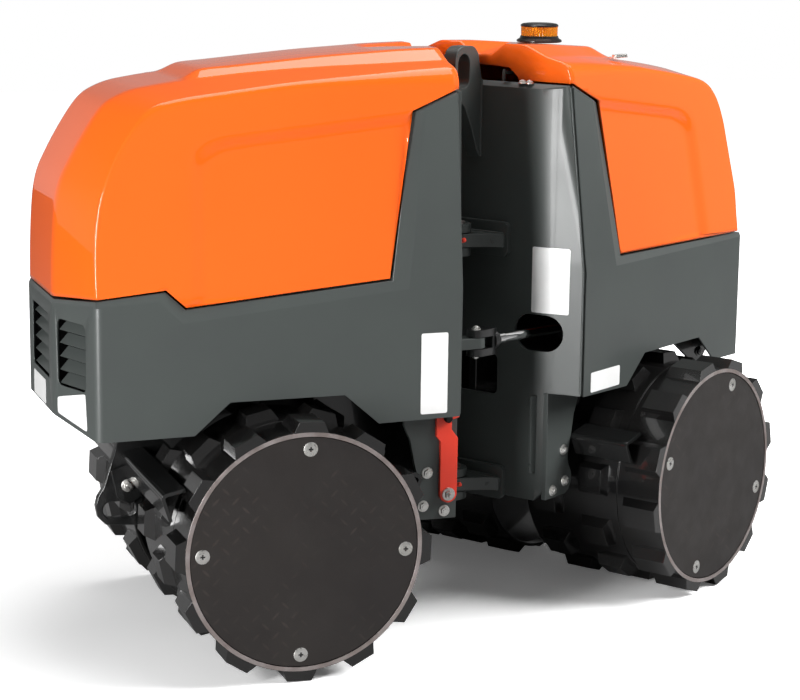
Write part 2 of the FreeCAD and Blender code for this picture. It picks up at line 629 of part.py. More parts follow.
def beacon_seat():
    (x0, _, z0, _, _), (x1, _, z1, _, _) = REAR_PLATEAU[1:3]
    return z0 + (z1 - z0) * (BEACON_AT + BEACON_BASE_RADIUS - x0) / (x1 - x0)


def beacon_lens():
    z = beacon_seat() + 20.0
    return Part.makeCylinder(BEACON_LENS_RADIUS, BEACON_TOP - z, Vector(BEACON_AT, 0, z))


# ---------------------------------------------------------------- steering cylinder
def rod_bracket():
    """Plate on the front wall that carries the cylinder's rod pin."""
    x, y = ROD_PIN
    arc = [(x + BRACKET_HALF * math.cos(math.radians(d)), y + BRACKET_HALF * math.sin(math.radians(d)))
           for d in range(-90, 91, 20)]
    foot = BRACKET_HALF + 6.0
    outline = [(WALL_FACE - 4.0, y - foot)] + arc + [(WALL_FACE - 4.0, y + foot)]
    plate = prism_z(outline, CYLINDER_HEIGHT - BRACKET_THICKNESS / 2, CYLINDER_HEIGHT + BRACKET_THICKNESS / 2)
    return plate.cut(end_wall())


def cylinder_frame():
    """Barrel pivot, pin point and unit direction of the cylinder at rest, in machine axes."""
    pivot = to_rear(Part.Vertex(BARREL_PIN[0], BARREL_PIN[1], CYLINDER_HEIGHT)).Point
    pin = Vector(ROD_PIN[0], ROD_PIN[1], CYLINDER_HEIGHT)
    return pivot, pin


def along(shape, start, end):
    """Carry a shape drawn along +X from the origin onto the line from start to end."""
    line = end.sub(start)
    shape.rotate(Vector(0, 0, 0), Vector(0, 0, 1), math.degrees(math.atan2(line.y, line.x)))
    shape.translate(start)
    return shape


def barrel():
    pivot, pin = cylinder_frame()
    tube = Part.makeCylinder(BARREL_RADIUS, BARREL_LENGTH - 30.0, Vector(30, 0, 0), Vector(1, 0, 0))
    bore = Part.makeCylinder(ROD_RADIUS + RUNNING_GAP, BARREL_LENGTH - BARREL_BORE_START,
                             Vector(BARREL_BORE_START, 0, 0), Vector(1, 0, 0))
    lug = box(0, 32, -15, 15, -15, 15).fuse(Part.makeCylinder(22, 30, Vector(0, 0, -15)))
    hole = Part.makeCylinder(CYLINDER_PIN_RADIUS + RUNNING_GAP, 40, Vector(0, 0, -20))
    return along(fuse([tube, lug]).cut(bore).cut(hole), pivot, pin)


def rod():
    """Rod and its yoke.  The pin's shank between the arms is left out: the linkage is open there."""
    pivot, pin = cylinder_frame()
    reach = pin.sub(pivot).Length
    start = BARREL_LENGTH - ROD_ENGAGED
    shoulder = reach - YOKE_REACH
    radius, length = YOKE_COLLAR
    bar = Part.makeCylinder(ROD_RADIUS, shoulder - start, Vector(start, 0, 0), Vector(1, 0, 0))
    collar = Part.makeCylinder(radius, length, Vector(shoulder - length, 0, 0), Vector(1, 0, 0))
    inner = BRACKET_THICKNESS / 2 + YOKE_GAP
    back = box(shoulder - 1.0, shoulder + 14.0, -YOKE_HALF, YOKE_HALF, -inner - YOKE_ARM, inner + YOKE_ARM)
    parts = [bar, collar, back]
    for z, head in ((-inner - YOKE_ARM, -inner - YOKE_ARM - 5.0), (inner, inner + YOKE_ARM)):
        parts.append(box(shoulder, reach, -YOKE_HALF, YOKE_HALF, z, z + YOKE_ARM))
        parts.append(Part.makeCylinder(YOKE_HALF, YOKE_ARM, Vector(reach, 0, z)))
        parts.append(Part.makeCylinder(CYLINDER_PIN_RADIUS, 5.0, Vector(reach, 0, head)))
    return along(fuse(parts), pivot, pin)


def barrel_mount():
    """Clevis inside the rear module that holds the barrel's pin."""
    x, y = BARREL_PIN
    low = DECK_HEIGHT + PLATE
    plates = []
    for z0 in (CYLINDER_HEIGHT - 15 - 2 - 12, CYLINDER_HEIGHT + 15 + 2):
        plates.append(box(x - 60, x + 22, y - 24, BODY_HALF - PLATE, z0, z0 + 12))
    back = box(x - 60, x - 44, y - 24, BODY_HALF - PLATE, low, CYLINDER_HEIGHT + 29)
    bolt = Part.makeCylinder(CYLINDER_PIN_RADIUS, 62, Vector(x, y, CYLINDER_HEIGHT - 31))
    return fuse(plates + [back, bolt])


def cylinder_opening():
    """Oblong opening in the rear wall for the cylinder's rod, on the +Y side."""
    y0, y1, radius = 163.0, 202.0, 42.0
    ends = [Part.makeCylinder(radius, 120, Vector(360, y, CYLINDER_HEIGHT), Vector(1, 0, 0)) for y in (y0, y1)]
    return fuse(ends + [box(360, 480, y0, y1, CYLINDER_HEIGHT - radius, CYLINDER_HEIGHT + radius)])


def hose_opening():
    block = box(360, 480, -40.0, 76.0, 497.0, 592.0)
    edges = [e for e in block.Edges if abs(e.tangentAt(e.FirstParameter).x) > 0.99]
    return block.makeFillet(14.0, edges)


# ---------------------------------------------------------------- placing the rear module
def to_rear(shape):
    """Turn a piece to face the front module, then bend the machine at its hinge."""
    shape = shape.copy()
    shape.rotate(Vector(HINGE_REACH, 0, 0), Vector(0, 0, 1), 180.0 + REST_BEND)
    return shape


def module_pieces(module, corner):
    """Pieces that both modules have."""
    return {
        "side_plates": side_plates(corner),
        "end_panel": nose_panel(corner),
        "air_slats": nose_slats(corner),
        "deck": deck(corner),
        "lower_side_plates": lower_side_plates(),
        "drum_carrier": drum_carrier(),
        "axle": axle(),
        "outer_scrapers": outer_scrapers(module),
        "inner_scrapers": inner_scrapers(module),
        "hood_hinge_brackets": hood_hinge_brackets(),
    }


def build():
    pieces = {}
    for name, shape in module_pieces("front", FRONT_CORNER).items():
        pieces["front_" + name] = shape
    for name, shape in module_pieces("rear", REAR_CORNER).items():
        pieces["rear_" + name] = to_rear(shape)

    pieces["front_end_wall"] = end_wall()
    pieces["front_fork_ears"] = fork_ears()
    pieces["steering_pins"] = pins()
    pieces["rod_bracket"] = rod_bracket()
    pieces["engine_block"] = box(-260, 180, -190, 190, DECK_HEIGHT + PLATE, 1080)
    pieces["lock_bar"] = lock_bar()

    pieces["rear_end_wall"] = to_rear(end_wall().cut(cylinder_opening()).cut(hose_opening()))
    pieces["rear_tongues"] = to_rear(tongues())
    pieces["lifting_lug"] = to_rear(lifting_lug())
    pieces["hydraulic_tank"] = to_rear(box(-220, 40, -200, 190, DECK_HEIGHT + PLATE, 1040))
    pieces["barrel_mount"] = to_rear(barrel_mount())
    pieces["cylinder_barrel"] = barrel()
    pieces["cylinder_rod"] = rod()

    pieces["front_hood"] = hood(FRONT_SIDE, FRONT_MIDDLE, FRONT_PLATEAU, FRONT_CORNER)
    pieces["rear_hood"] = to_rear(hood(REAR_SIDE, REAR_MIDDLE, REAR_PLATEAU, REAR_CORNER))
    pieces["beacon_base"] = to_rear(beacon_base())
    pieces["beacon_lens"] = to_rear(beacon_lens())

    left_cover = cover()
    for module, place in (("front", lambda s: s), ("rear", to_rear)):
        left_drum = drum(DRUM_ROLL[module])
        for side, turn in (("left", lambda s: s), ("right", mirrored)):
            pieces[f"{module}_{side}_drum"] = place(turn(left_drum))
            pieces[f"{module}_{side}_cover"] = place(turn(left_cover))
    return pieces


def main():
    pieces = build()
    whole = Part.makeCompound(list(pieces.values()))
    bounds = whole.optimalBoundingBox(False)
    shift = Vector(-(bounds.XMin + bounds.XMax) / 2, -(bounds.YMin + bounds.YMax) / 2, 0.0)
    for name, shape in pieces.items():
        shape = shape.copy()
        shape.translate(shift)
        shape.exportStep(f"parts/{name}.step")
    print("origin shift", tuple(shift), "bounds", bounds)
    return shift


origin_shift = main()
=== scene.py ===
"""Finished look of the articulated trench roller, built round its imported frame.

Each piece is drawn in millimetres in its own module's axes: origin on the floor under the
module's axle, +X towards the steering hinge, +Z up.  The placing of the body that it rides on
then carries it to the machine.
"""
import json
import math

import bmesh
import bpy
from mathutils import Matrix, Vector
from mathutils.geometry import delaunay_2d_cdt


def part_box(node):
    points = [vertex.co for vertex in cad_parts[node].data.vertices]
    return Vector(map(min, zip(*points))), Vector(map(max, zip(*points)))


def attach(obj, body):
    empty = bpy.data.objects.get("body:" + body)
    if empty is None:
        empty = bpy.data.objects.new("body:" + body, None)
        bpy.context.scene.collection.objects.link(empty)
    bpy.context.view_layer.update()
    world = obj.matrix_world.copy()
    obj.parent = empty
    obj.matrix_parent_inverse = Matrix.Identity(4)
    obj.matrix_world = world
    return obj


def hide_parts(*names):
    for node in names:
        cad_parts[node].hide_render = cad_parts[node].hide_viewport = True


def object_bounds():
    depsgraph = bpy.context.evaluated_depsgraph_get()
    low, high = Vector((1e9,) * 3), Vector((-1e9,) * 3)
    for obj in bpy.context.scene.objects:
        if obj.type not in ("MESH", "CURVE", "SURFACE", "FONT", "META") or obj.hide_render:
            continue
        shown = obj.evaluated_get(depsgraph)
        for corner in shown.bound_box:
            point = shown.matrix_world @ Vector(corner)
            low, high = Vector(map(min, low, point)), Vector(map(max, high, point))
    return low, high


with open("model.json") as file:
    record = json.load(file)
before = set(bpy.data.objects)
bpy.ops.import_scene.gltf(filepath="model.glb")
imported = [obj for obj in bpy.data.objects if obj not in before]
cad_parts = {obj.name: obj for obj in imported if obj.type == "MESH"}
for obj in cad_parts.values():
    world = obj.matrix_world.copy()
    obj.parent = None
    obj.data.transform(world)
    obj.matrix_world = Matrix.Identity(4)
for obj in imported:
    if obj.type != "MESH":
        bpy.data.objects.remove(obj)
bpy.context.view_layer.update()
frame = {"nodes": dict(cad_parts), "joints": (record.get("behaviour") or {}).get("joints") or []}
scene = bpy.context.scene
scene.view_settings.view_transform = "Standard"

# ---- Placing of the two modules
# The machine is two like steel boxes on drums, joined at one upright hinge.  Each box has its
# axle and its heading from the drum joints, so both are dressed in the same coordinates.
MM = 0.001
UP = Vector((0, 0, 1))
joints = {joint["name"]: joint for joint in frame["joints"]}


def axes(*directions):
    """Matrix that carries X, Y and Z onto three directions."""
    return Matrix(directions).transposed().to_4x4()


def turn(degrees, axis):
    return Matrix.Rotation(math.radians(degrees), 4, axis)


def module_placing(module):
    """Matrix from a module's millimetres to the machine's metres."""
    axle = joints[module + "_left_drum_axle"]
    across, at = Vector(axle["axis"]), Vector(axle["pos_m"])
    floor_point = Matrix.Translation((at.x, at.y, 0))
    return floor_point @ axes(across.cross(UP), across, UP) @ Matrix.Scale(MM, 4)


MODULES = ("front", "rear")
NEAR = {"front": -1, "rear": 1}          # the side with the steering cylinder
FAR_SIDE = Matrix.Scale(-1, 4, (0, 1, 0))
PLACING = {module + part: module_placing(module) for module in MODULES for part in ("_frame", "_hood")}


def colour(code):
    """Linear RGBA from an sRGB hex code."""
    parts = [int(code[i:i + 2], 16) / 255 for i in (0, 2, 4)]
    return [c / 12.92 if c <= 0.04045 else ((c + 0.055) / 1.055) ** 2.4 for c in parts] + [1]


def add_node(tree, kind, inputs=(), **settings):
    """Add a node; each input is a value, or the socket that feeds it."""
    made = tree.nodes.new(kind)
    for key, value in settings.items():
        setattr(made, key, value)
    for socket, value in dict(inputs).items():
        if isinstance(value, bpy.types.NodeSocket):
            tree.links.new(value, made.inputs[socket])
        else:
            made.inputs[socket].default_value = value
    return made


def maths(tree, operation, a, b=0.0):
    """Result of an operation on two values or sockets, as a socket."""
    return add_node(tree, "ShaderNodeMath", {0: a, 1: b}, operation=operation).outputs[0]


def new_finish(name, slot, **surface):
    """Material with one surface shader and the object's own coordinates."""
    finish = bpy.data.materials.new(name)
    finish.use_nodes = True
    tree = finish.node_tree
    tree.nodes.clear()
    shader = add_node(tree, "ShaderNodeBsdfPrincipled", surface)
    add_node(tree, "ShaderNodeOutputMaterial", {"Surface": shader.outputs[0]})
    where = add_node(tree, "ShaderNodeTexCoord").outputs["Object"]
    return finish, tree, shader, where


def mottle(tree, where, scale, low, high, low_at=0.35, high_at=0.65):
    """Soft patches: a colour or grey ramp over noise of the given patches per metre."""
    noise = add_node(tree, "ShaderNodeTexNoise", {"Vector": where, "Scale": scale, "Detail": 4.0})
    ramp = add_node(tree, "ShaderNodeValToRGB", {"Fac": noise.outputs[0]})
    for stop, at, value in zip(ramp.color_ramp.elements, (low_at, high_at), (low, high)):
        stop.position = at
        stop.color = value if isinstance(value, list) else (value, value, value, 1)
    return ramp.outputs[0]


def relief(tree, shader, height, depth, strength=0.5):
    """Bump of the given depth in metres."""
    bump = add_node(tree, "ShaderNodeBump", {"Height": height, "Distance": depth, "Strength": strength})
    tree.links.new(bump.outputs[0], shader.inputs["Normal"])


def mottled(name, slot, patches, low, high, rough=None, skin=None, spread=(0.35, 0.65), **surface):
    """Finish that drifts between two colours, in patches per metre.

    rough is the patches per metre, low and high of the roughness; skin is the grains per metre,
    detail, depth and strength of a fine relief.
    """
    finish, tree, shader, where = new_finish(name, slot, **surface)
    tint = mottle(tree, where, patches, colour(low), colour(high), *spread)
    tree.links.new(tint, shader.inputs["Base Color"])
    if rough:
        tree.links.new(mottle(tree, where, *rough, *spread), shader.inputs["Roughness"])
    if skin:
        grains, detail, *bump = skin
        noise = add_node(tree, "ShaderNodeTexNoise", {"Vector": where, "Scale": grains, "Detail": detail})
        relief(tree, shader, noise.outputs[0], *bump)
    return finish


def paint(name, slot, base, worn, roughness, coat, peel=0.00004):
    """Sprayed coat: faint colour drift, roughness drift and orange peel of about 4 mm."""
    return mottled(name, slot, 9, worn, base, (14, roughness * 0.93, roughness * 1.07), (250, 2, peel),
                   (0.2, 0.8), **{"Coat Weight": coat, "Coat Roughness": 0.04, "Specular IOR Level": 0.5})


# thick enamel on the drums gives a deep wet black; the frame's is thinner, with smaller highlights
drum_black = paint("gloss_black_drum_enamel", "cast_black", "0E0E0F", "1A1918", 0.2, 0.8, 0.0006)
frame_black = paint("gloss_black_frame_enamel", "black_paint", "121313", "181818", 0.2, 0.6)


def brushed(name, slot, base, worn, roughness, scratches):
    """Bare or plated metal: fine scratches and slightly uneven brightness."""
    return mottled(name, slot, 22, worn, base, (160, roughness * 0.7, roughness * 1.3),
                   (scratches, 6, 0.00005, 0.3), Metallic=1.0)


# turned steel is dull silver, zinc plate paler and even, hard chrome close to a mirror
machined = brushed("machined_steel_edge", "machined_steel", "D9CFCD", "B9ABA7", 0.42, 900)
zinc = brushed("zinc_plated_steel", "machined_steel", "F6F5F2", "DAD8D2", 0.36, 500)
chrome = brushed("hard_chrome", "chrome", "F0F0F0", "DCDCDC", 0.08, 400)


# ---- Drum shells with their pads
# Rolled steel shells with three staggered rows of welded pads.  The outer row sits on a
# bolted-on widening ring, whose outer face is left machined.
AXLE_HEIGHT, SHELL, SHELL_INSIDE, PAD_TIP = 280.0, 258.0, 250.0, 278.6
INNER_END, RING_SEAM, OUTER_END = 55.0, 313.0, 425.0
PADS_IN_ROW = 12
DRUMS = [(module, side, f"{module}_{side}_drum") for module in MODULES for side in ("left", "right")]
for module, side, body in DRUMS:
    wheel = PLACING[module + "_frame"] @ Matrix.Translation((0, 0, AXLE_HEIGHT))
    PLACING[body] = wheel @ FAR_SIDE if side == "right" else wheel


def outwards(form, way=None):
    """Point all faces out of a solid; an open skin goes by its outermost face along way."""
    bmesh.ops.recalc_face_normals(form, faces=form.faces)
    if way is not None:
        outermost = max(form.faces, key=lambda face: face.calc_center_median().dot(way))
        if outermost.normal.dot(way) < 0:
            bmesh.ops.reverse_faces(form, faces=form.faces)
    return form


def turned(profile, steps=96, capped=True):
    """Solid of revolution about the Y axis from (y, radius) points.

    A capped profile runs straight down to the axis at both ends; the others close on themselves.
    """
    form = bmesh.new()
    if capped:
        profile = [(profile[0][0], 0)] + profile + [(profile[-1][0], 0)]
    rings = []
    for y, radius in profile:
        spread = steps if radius > 0 else 1
        angles = [2 * math.pi * i / spread for i in range(spread)]
        rings.append([form.verts.new((radius * math.sin(a), y, radius * math.cos(a))) for a in angles])
    for ring, after in zip(rings, rings[1:] + rings[:1]):
        for i in range(max(len(ring), len(after))):
            j = (i + 1) % steps
            corners = [ring[i % len(ring)], after[i % len(after)], after[j % len(after)],
                       ring[j % len(ring)]]
            unique = list(dict.fromkeys(corners))
            if len(unique) > 2:
                form.faces.new(unique)
    return outwards(form)


def joined_loops(near, far):
    """Solid between two loops of as many points."""
    form = bmesh.new()
    near, far = [[form.verts.new(p) for p in loop] for loop in (near, far)]
    form.faces.new(near)
    form.faces.new(far[::-1])
    for i in range(len(near)):
        form.faces.new((near[i - 1], near[i], far[i], far[i - 1]))
    return outwards(form)


def extruded(outline, axis, start, end):
    """Plate or bar: an outline in the plane across an axis, carried along that axis."""
    place = {"x": lambda a, b, t: (t, a, b), "y": lambda a, b, t: (a, t, b),
             "z": lambda a, b, t: (a, b, t)}[axis]
    return joined_loops(*[[place(a, b, t) for a, b in outline] for t in (start, end)])


def frustum(*rectangles):
    """Six-sided block between two rectangles, each (x0, x1, y0, y1, z)."""
    return joined_loops(*[((x0, y0, z), (x1, y0, z), (x1, y1, z), (x0, y1, z))
                          for x0, x1, y0, y1, z in rectangles])


def object_of(name, form=None):
    """Put a form into the scene as an object."""
    made = bpy.data.objects.new(name, bpy.data.meshes.new(name))
    if form:
        form.to_mesh(made.data)
        form.free()
    scene.collection.objects.link(made)
    return made


def form_of(mesh):
    """Turn a mesh, which is used up, into a form."""
    form = bmesh.new()
    form.from_mesh(mesh)
    bpy.data.meshes.remove(mesh)
    return form


def shape_with_modifiers(thing):
    """Form of an object as its modifiers leave it."""
    bpy.context.view_layer.update()
    result = thing.evaluated_get(bpy.context.evaluated_depsgraph_get())
    return form_of(bpy.data.meshes.new_from_object(result))


def merged(*forms):
    """One form from several."""
    whole = bmesh.new()
    for form in forms:
        mesh = bpy.data.meshes.new("part")
        form.to_mesh(mesh)
        form.free()
        whole.from_mesh(mesh)
        bpy.data.meshes.remove(mesh)
    return whole


def placed(form, matrix):
    form.transform(matrix)
    return form


def moved(form, x=0.0, y=0.0, z=0.0):
    return placed(form, Matrix.Translation((x, y, z)))


def mirrored(form):
    """The same form on the other side of the module's middle plane."""
    twin = placed(form.copy(), FAR_SIDE)
    bmesh.ops.reverse_faces(twin, faces=twin.faces)
    return twin


def both(form):
    return merged(mirrored(form), form)


def add_piece(name, form, body, finish, hides=(), bevel=0.0, segments=2, sharp=35):
    """Make a drawn form a piece of the machine, with its edges rounded by bevel millimetres."""
    form.transform(PLACING[body])
    if PLACING[body].determinant() < 0:
        bmesh.ops.reverse_faces(form, faces=form.faces)
    piece = object_of(name, form)
    piece.data.materials.append(finish)
    piece.data.shade_smooth()
    if bevel:
        edge = piece.modifiers.new("rounded_edges", "BEVEL")
        edge.width, edge.segments, edge.harden_normals = bevel * MM, segments, True
        edge.limit_method, edge.angle_limit = "ANGLE", math.radians(sharp)
    else:
        piece.data.set_sharp_from_angle(angle=math.radians(sharp))
    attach(piece, body)
    if hides:
        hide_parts(*hides)
    return piece


def layout_tree(name, *values):
    """Node tree that lays out copies of a piece; gives the tree and its inputs."""
    tree = bpy.data.node_groups.new(name, "GeometryNodeTree")
    for label, kind in (("Piece", "Object"), *values, ("Finish", "Material")):
        tree.interface.new_socket(label, in_out="INPUT", socket_type="NodeSocket" + kind)
    tree.interface.new_socket("Geometry", in_out="OUTPUT", socket_type="NodeSocketGeometry")
    return tree, add_node(tree, "NodeGroupInput").outputs


def end_layout(tree, given, points, **turned_by):
    """Put the piece on each point, make the copies real and give them their finish."""
    piece = add_node(tree, "GeometryNodeObjectInfo", {"Object": given["Piece"]}).outputs["Geometry"]
    for kind, inputs in (("InstanceOnPoints", {"Instance": piece, **turned_by}), ("RealizeInstances", {}),
                         ("SetMaterial", {"Material": given["Finish"]})):
        points = add_node(tree, "GeometryNode" + kind, {0: points, **inputs}).outputs[0]
    add_node(tree, "NodeGroupOutput", {"Geometry": points})
    return tree


def rows_round_an_axle():
    """Node tree: copies of a piece in rows round the Y axis, each row turned from the last."""
    tree, given = layout_tree("rows_round_an_axle", ("Copies", "Int"), ("Rows", "Int"),
                              ("Row spacing", "Float"), ("Start angle", "Float"), ("Row turn", "Float"))
    index = add_node(tree, "GeometryNodeInputIndex").outputs[0]
    row = maths(tree, "FLOOR", maths(tree, "DIVIDE", index, given["Copies"]))
    step = maths(tree, "DIVIDE", 2 * math.pi, given["Copies"])
    row_turn = maths(tree, "MULTIPLY", row, given["Row turn"])
    angle = maths(tree, "ADD", maths(tree, "MULTIPLY", index, step),
                  maths(tree, "ADD", given["Start angle"], row_turn))
    total = maths(tree, "MULTIPLY", given["Copies"], given["Rows"])
    points = add_node(tree, "GeometryNodePoints", {"Count": total})
    shift = maths(tree, "MULTIPLY", row, given["Row spacing"])
    along, spin = [add_node(tree, "ShaderNodeCombineXYZ", {"Y": y}).outputs[0] for y in (shift, angle)]
    points = add_node(tree, "GeometryNodeSetPosition", {0: points.outputs[0], "Position": along})
    return end_layout(tree, given, points.outputs[0], Rotation=spin)


def arranged(tree, form, **values):
    """Form of copies that a node tree lays out; the piece copied is the given form."""
    source, holder = object_of("pattern_piece", form), object_of("pattern_holder")
    layout = holder.modifiers.new("layout", "NODES")
    layout.node_group = tree
    sockets = {item.name: item.identifier for item in tree.interface.items_tree}
    for name, value in {"Piece": source, **values}.items():
        layout[sockets[name.replace("_", " ")]] = value
    made = shape_with_modifiers(holder)
    holder.modifiers.remove(layout)
    for leftover in (holder, source):
        bpy.data.objects.remove(leftover)
    return made


DRUM_TURN = {"front": 2.6, "rear": -18.3}      # how far each pair has rolled, in degrees
PAD_ROOT, PAD_HEAD = 38.0, 27.0                # half of a pad's length round the drum
pad_rows = rows_round_an_axle()
main_pitch = (RING_SEAM - INNER_END) / 2
row_at = INNER_END + main_pitch / 2
ring_end = OUTER_END - 0.5
for module, side, body in DRUMS:
    shell = turned([(INNER_END, SHELL_INSIDE), (INNER_END, SHELL - 2), (INNER_END + 2, SHELL),
                    (RING_SEAM - 2, SHELL), (RING_SEAM - 1, SHELL - 2.5), (RING_SEAM + 1, SHELL - 2.5),
                    (RING_SEAM + 2, SHELL), (OUTER_END - 1, SHELL), (OUTER_END - 0.4, SHELL - 0.6),
                    (OUTER_END - 0.4, SHELL_INSIDE)], capped=False)
    web = turned([(67, 60.5), (67, SHELL_INSIDE + 1), (83, SHELL_INSIDE + 1), (83, 60.5)], 64, False)
    pads = []
    for rows, (low0, low1), (top0, top1) in (
            (2, (row_at - 39, row_at + 39), (row_at - 30, row_at + 30)),
            (1, (330, ring_end), (341, ring_end))):
        pad = frustum((-PAD_ROOT, PAD_ROOT, low0, low1, SHELL - 4),
                      (-PAD_HEAD, PAD_HEAD, top0, top1, PAD_TIP))
        pads.append(arranged(pad_rows, pad, Copies=PADS_IN_ROW, Rows=rows,
                             Row_spacing=main_pitch * (rows - 1),
                             Start_angle=math.radians(DRUM_TURN[module]),
                             Row_turn=math.pi / PADS_IN_ROW * (rows - 1), Finish=drum_black))
    add_piece(body + "_shell", merged(shell, web, *pads), body, drum_black, hides=[body], bevel=1.2)
    rim = turned([(OUTER_END - 3, SHELL_INSIDE - 2.0), (OUTER_END - 3, SHELL - 1),
                  (OUTER_END, SHELL - 1), (OUTER_END, SHELL_INSIDE - 2.0)], 128, False)
    add_piece(body + "_machined_rim", rim, body, machined, bevel=0.4)

# ---- Closing covers
# Flat steel discs bolted into the drums' outer ends: satin brown-black coat over worn tread
# plate, whose raised bars still show faintly.  Four countersunk screws hold each.
# thin satin coat: dark brown-black with soft, wide highlights
cover_coat, tree, shader, where = new_finish("satin_brown_black_coat", "cast_black", **{
    "Coat Weight": 0.15, "Coat Roughness": 0.25})
TREAD_PITCH = 0.030      # between the tread bars
turned_by = add_node(tree, "ShaderNodeMapping", {"Vector": where, "Rotation": (0, math.radians(45), 0)})
cells = add_node(tree, "ShaderNodeVectorMath", {0: turned_by.outputs[0], 1: (1 / TREAD_PITCH,) * 3},
                 operation="MULTIPLY")
split = add_node(tree, "ShaderNodeSeparateXYZ", {0: cells.outputs[0]})
across, along = [maths(tree, "SUBTRACT", maths(tree, "FRACT", split.outputs[axis]), 0.5) for axis in "XZ"]
cell_sum = maths(tree, "ADD", *[maths(tree, "FLOOR", split.outputs[axis]) for axis in "XZ"])
bars = []
for long_way, short_way in ((across, along), (along, across)):
    squares = [maths(tree, "POWER", maths(tree, "MULTIPLY", way, times), 2.0)
               for way, times in ((long_way, 2.6), (short_way, 10.0))]
    bar = add_node(tree, "ShaderNodeMapRange", {"Value": maths(tree, "ADD", *squares), "From Min": 0.3,
                                                "From Max": 1.2, "To Min": 1.0, "To Max": 0.0})
    bars.append(bar.outputs[0])
tread = add_node(tree, "ShaderNodeMix", {0: maths(tree, "FLOORED_MODULO", cell_sum, 2.0),
                                         2: bars[0], 3: bars[1]})
shown = maths(tree, "MULTIPLY", tread.outputs[0], mottle(tree, where, 7, 0.0, 1.0, 0.45, 0.72))
drift = mottle(tree, where, 5, colour("211D1C"), colour("272321"))
tint = add_node(tree, "ShaderNodeMix", {0: shown, 6: drift, 7: colour("352E2B")}, data_type="RGBA")
tree.links.new(tint.outputs[2], shader.inputs["Base Color"])
tree.links.new(mottle(tree, where, 18, 0.42, 0.55), shader.inputs["Roughness"])
relief(tree, shader, shown, 0.0002, 0.25)

SCREW_CIRCLE, SCREW_RADIUS, COVER_RADIUS = 221.0, 15.5, 247.0


def countersunk_screw():
    """Flat dished head and its cross recess, drawn on the Y axis and carried out to the circle."""
    arm, reach = 1.7, 5.2
    form = turned([(-2.0, SCREW_RADIUS), (0.4, SCREW_RADIUS), (1.3, SCREW_RADIUS - 1.6)], 32)
    cross = [(arm, arm), (reach, arm), (reach, -arm), (arm, -arm), (arm, -reach), (-arm, -reach),
             (-arm, -arm), (-reach, -arm), (-reach, arm), (-arm, arm), (-arm, reach), (arm, reach)]
    return moved(form, z=SCREW_CIRCLE), moved(extruded(cross, "y", 1.0, 1.45), z=SCREW_CIRCLE)


cover_face = OUTER_END - 1.5
for module, side, body in DRUMS:
    node = f"{module}_{side}_cover"
    disc = turned([(cover_face - 7, COVER_RADIUS - 1.2), (cover_face - 1.2, COVER_RADIUS),
                   (cover_face, COVER_RADIUS - 1.2)], 160)
    add_piece(node + "_disc", disc, body, cover_coat, hides=[node])
    head, recess = countersunk_screw()
    for part, form, finish in (("screws", head, zinc), ("screw_recesses", recess, frame_black)):
        ring = arranged(pad_rows, form, Copies=4, Rows=1, Row_spacing=0.0,
                        Start_angle=math.radians(DRUM_TURN[module]), Row_turn=0.0, Finish=finish)
        add_piece(f"{node}_{part}", moved(ring, y=cover_face), body, finish)

# ---- Drum carriers, axles and tow eyes
# A cut plate hangs between each pair of drums and ends in a slotted tow eye; a welded box and
# housing hold the axle and its motor.  All in gloss black, with zinc plated bolts.
TOW_EYE, TOW_SLOT = (-301.0, 289.0), (19.0, 18.0)       # middle; half straight length and radius
WEB_HALF, DECK_LINE = 10.0, 589          # half the plate; its top edge, under the deck
CARRIER_OUTLINE = [(-285, DECK_LINE), (-307, 433), (-336, 340), (-349, 320), (-354, 300), (-349, 274),
                   (-332, 256), (-250, 249), (-248, 340), (-215, 370), (-110, 190), (110, 190),
                   (300, 300), (405, 300), (405, DECK_LINE)]


def arc(x, z, radius, start, end, steps=8):
    """Points on a circle, in degrees anticlockwise from +X."""
    angles = [math.radians(start + (end - start) * i / steps) for i in range(steps + 1)]
    return [(x + radius * math.cos(a), z + radius * math.sin(a)) for a in angles]


def oblong(x, z, half, radius, steps=10):
    """Outline with two round ends, half a straight length either side of the middle."""
    return arc(x + half, z, radius, -90, 90, steps) + arc(x - half, z, radius, 90, 270, steps)


def inside(point, outline):
    """Whether a point lies in an outline, by counting the sides passed."""
    x, y = point
    hit = False
    for (x0, y0), (x1, y1) in zip(outline, outline[1:] + outline[:1]):
        if (y0 > y) != (y1 > y) and x < (x1 - x0) * (y - y0) / (y1 - y0) + x0:
            hit = not hit
    return hit


def sheet(outline, holes, shape, points=()):
    """Triangulated skin: a flat outline with holes, each (a, b) carried to its place by shape."""
    spots, edges = [], []
    for loop in [outline] + list(holes):
        start = len(spots)
        spots += loop
        edges += [(start + i, start + (i + 1) % len(loop)) for i in range(len(loop))]
    spots += [p for p in points if inside(p, outline) and not any(inside(p, hole) for hole in holes)]
    found, _, faces = delaunay_2d_cdt([Vector(p) for p in spots], edges, [], 0, 1e-4)[:3]
    form = bmesh.new()
    verts = [form.verts.new(shape(*p)) for p in found]
    for face in faces:
        middle = sum((found[i] for i in face), Vector((0, 0))) / len(face)
        if inside(middle, outline) and not any(inside(middle, hole) for hole in holes):
            form.faces.new([verts[i] for i in face])
    bmesh.ops.delete(form, geom=[v for v in form.verts if not v.link_faces], context="VERTS")
    return form


def slab(form, travel):
    """Close a skin into a plate by carrying it along a vector."""
    made = bmesh.ops.extrude_face_region(form, geom=form.faces[:])["geom"]
    bmesh.ops.translate(form, verts=[v for v in made if isinstance(v, bmesh.types.BMVert)], vec=travel)
    return outwards(form)


def bend(start, corner, end, fractions):
    """Points on the smooth bend that a corner draws towards itself."""
    start, corner, end = Vector(start), Vector(corner), Vector(end)
    return [start.lerp(corner, t).lerp(corner.lerp(end, t), t) for t in fractions]


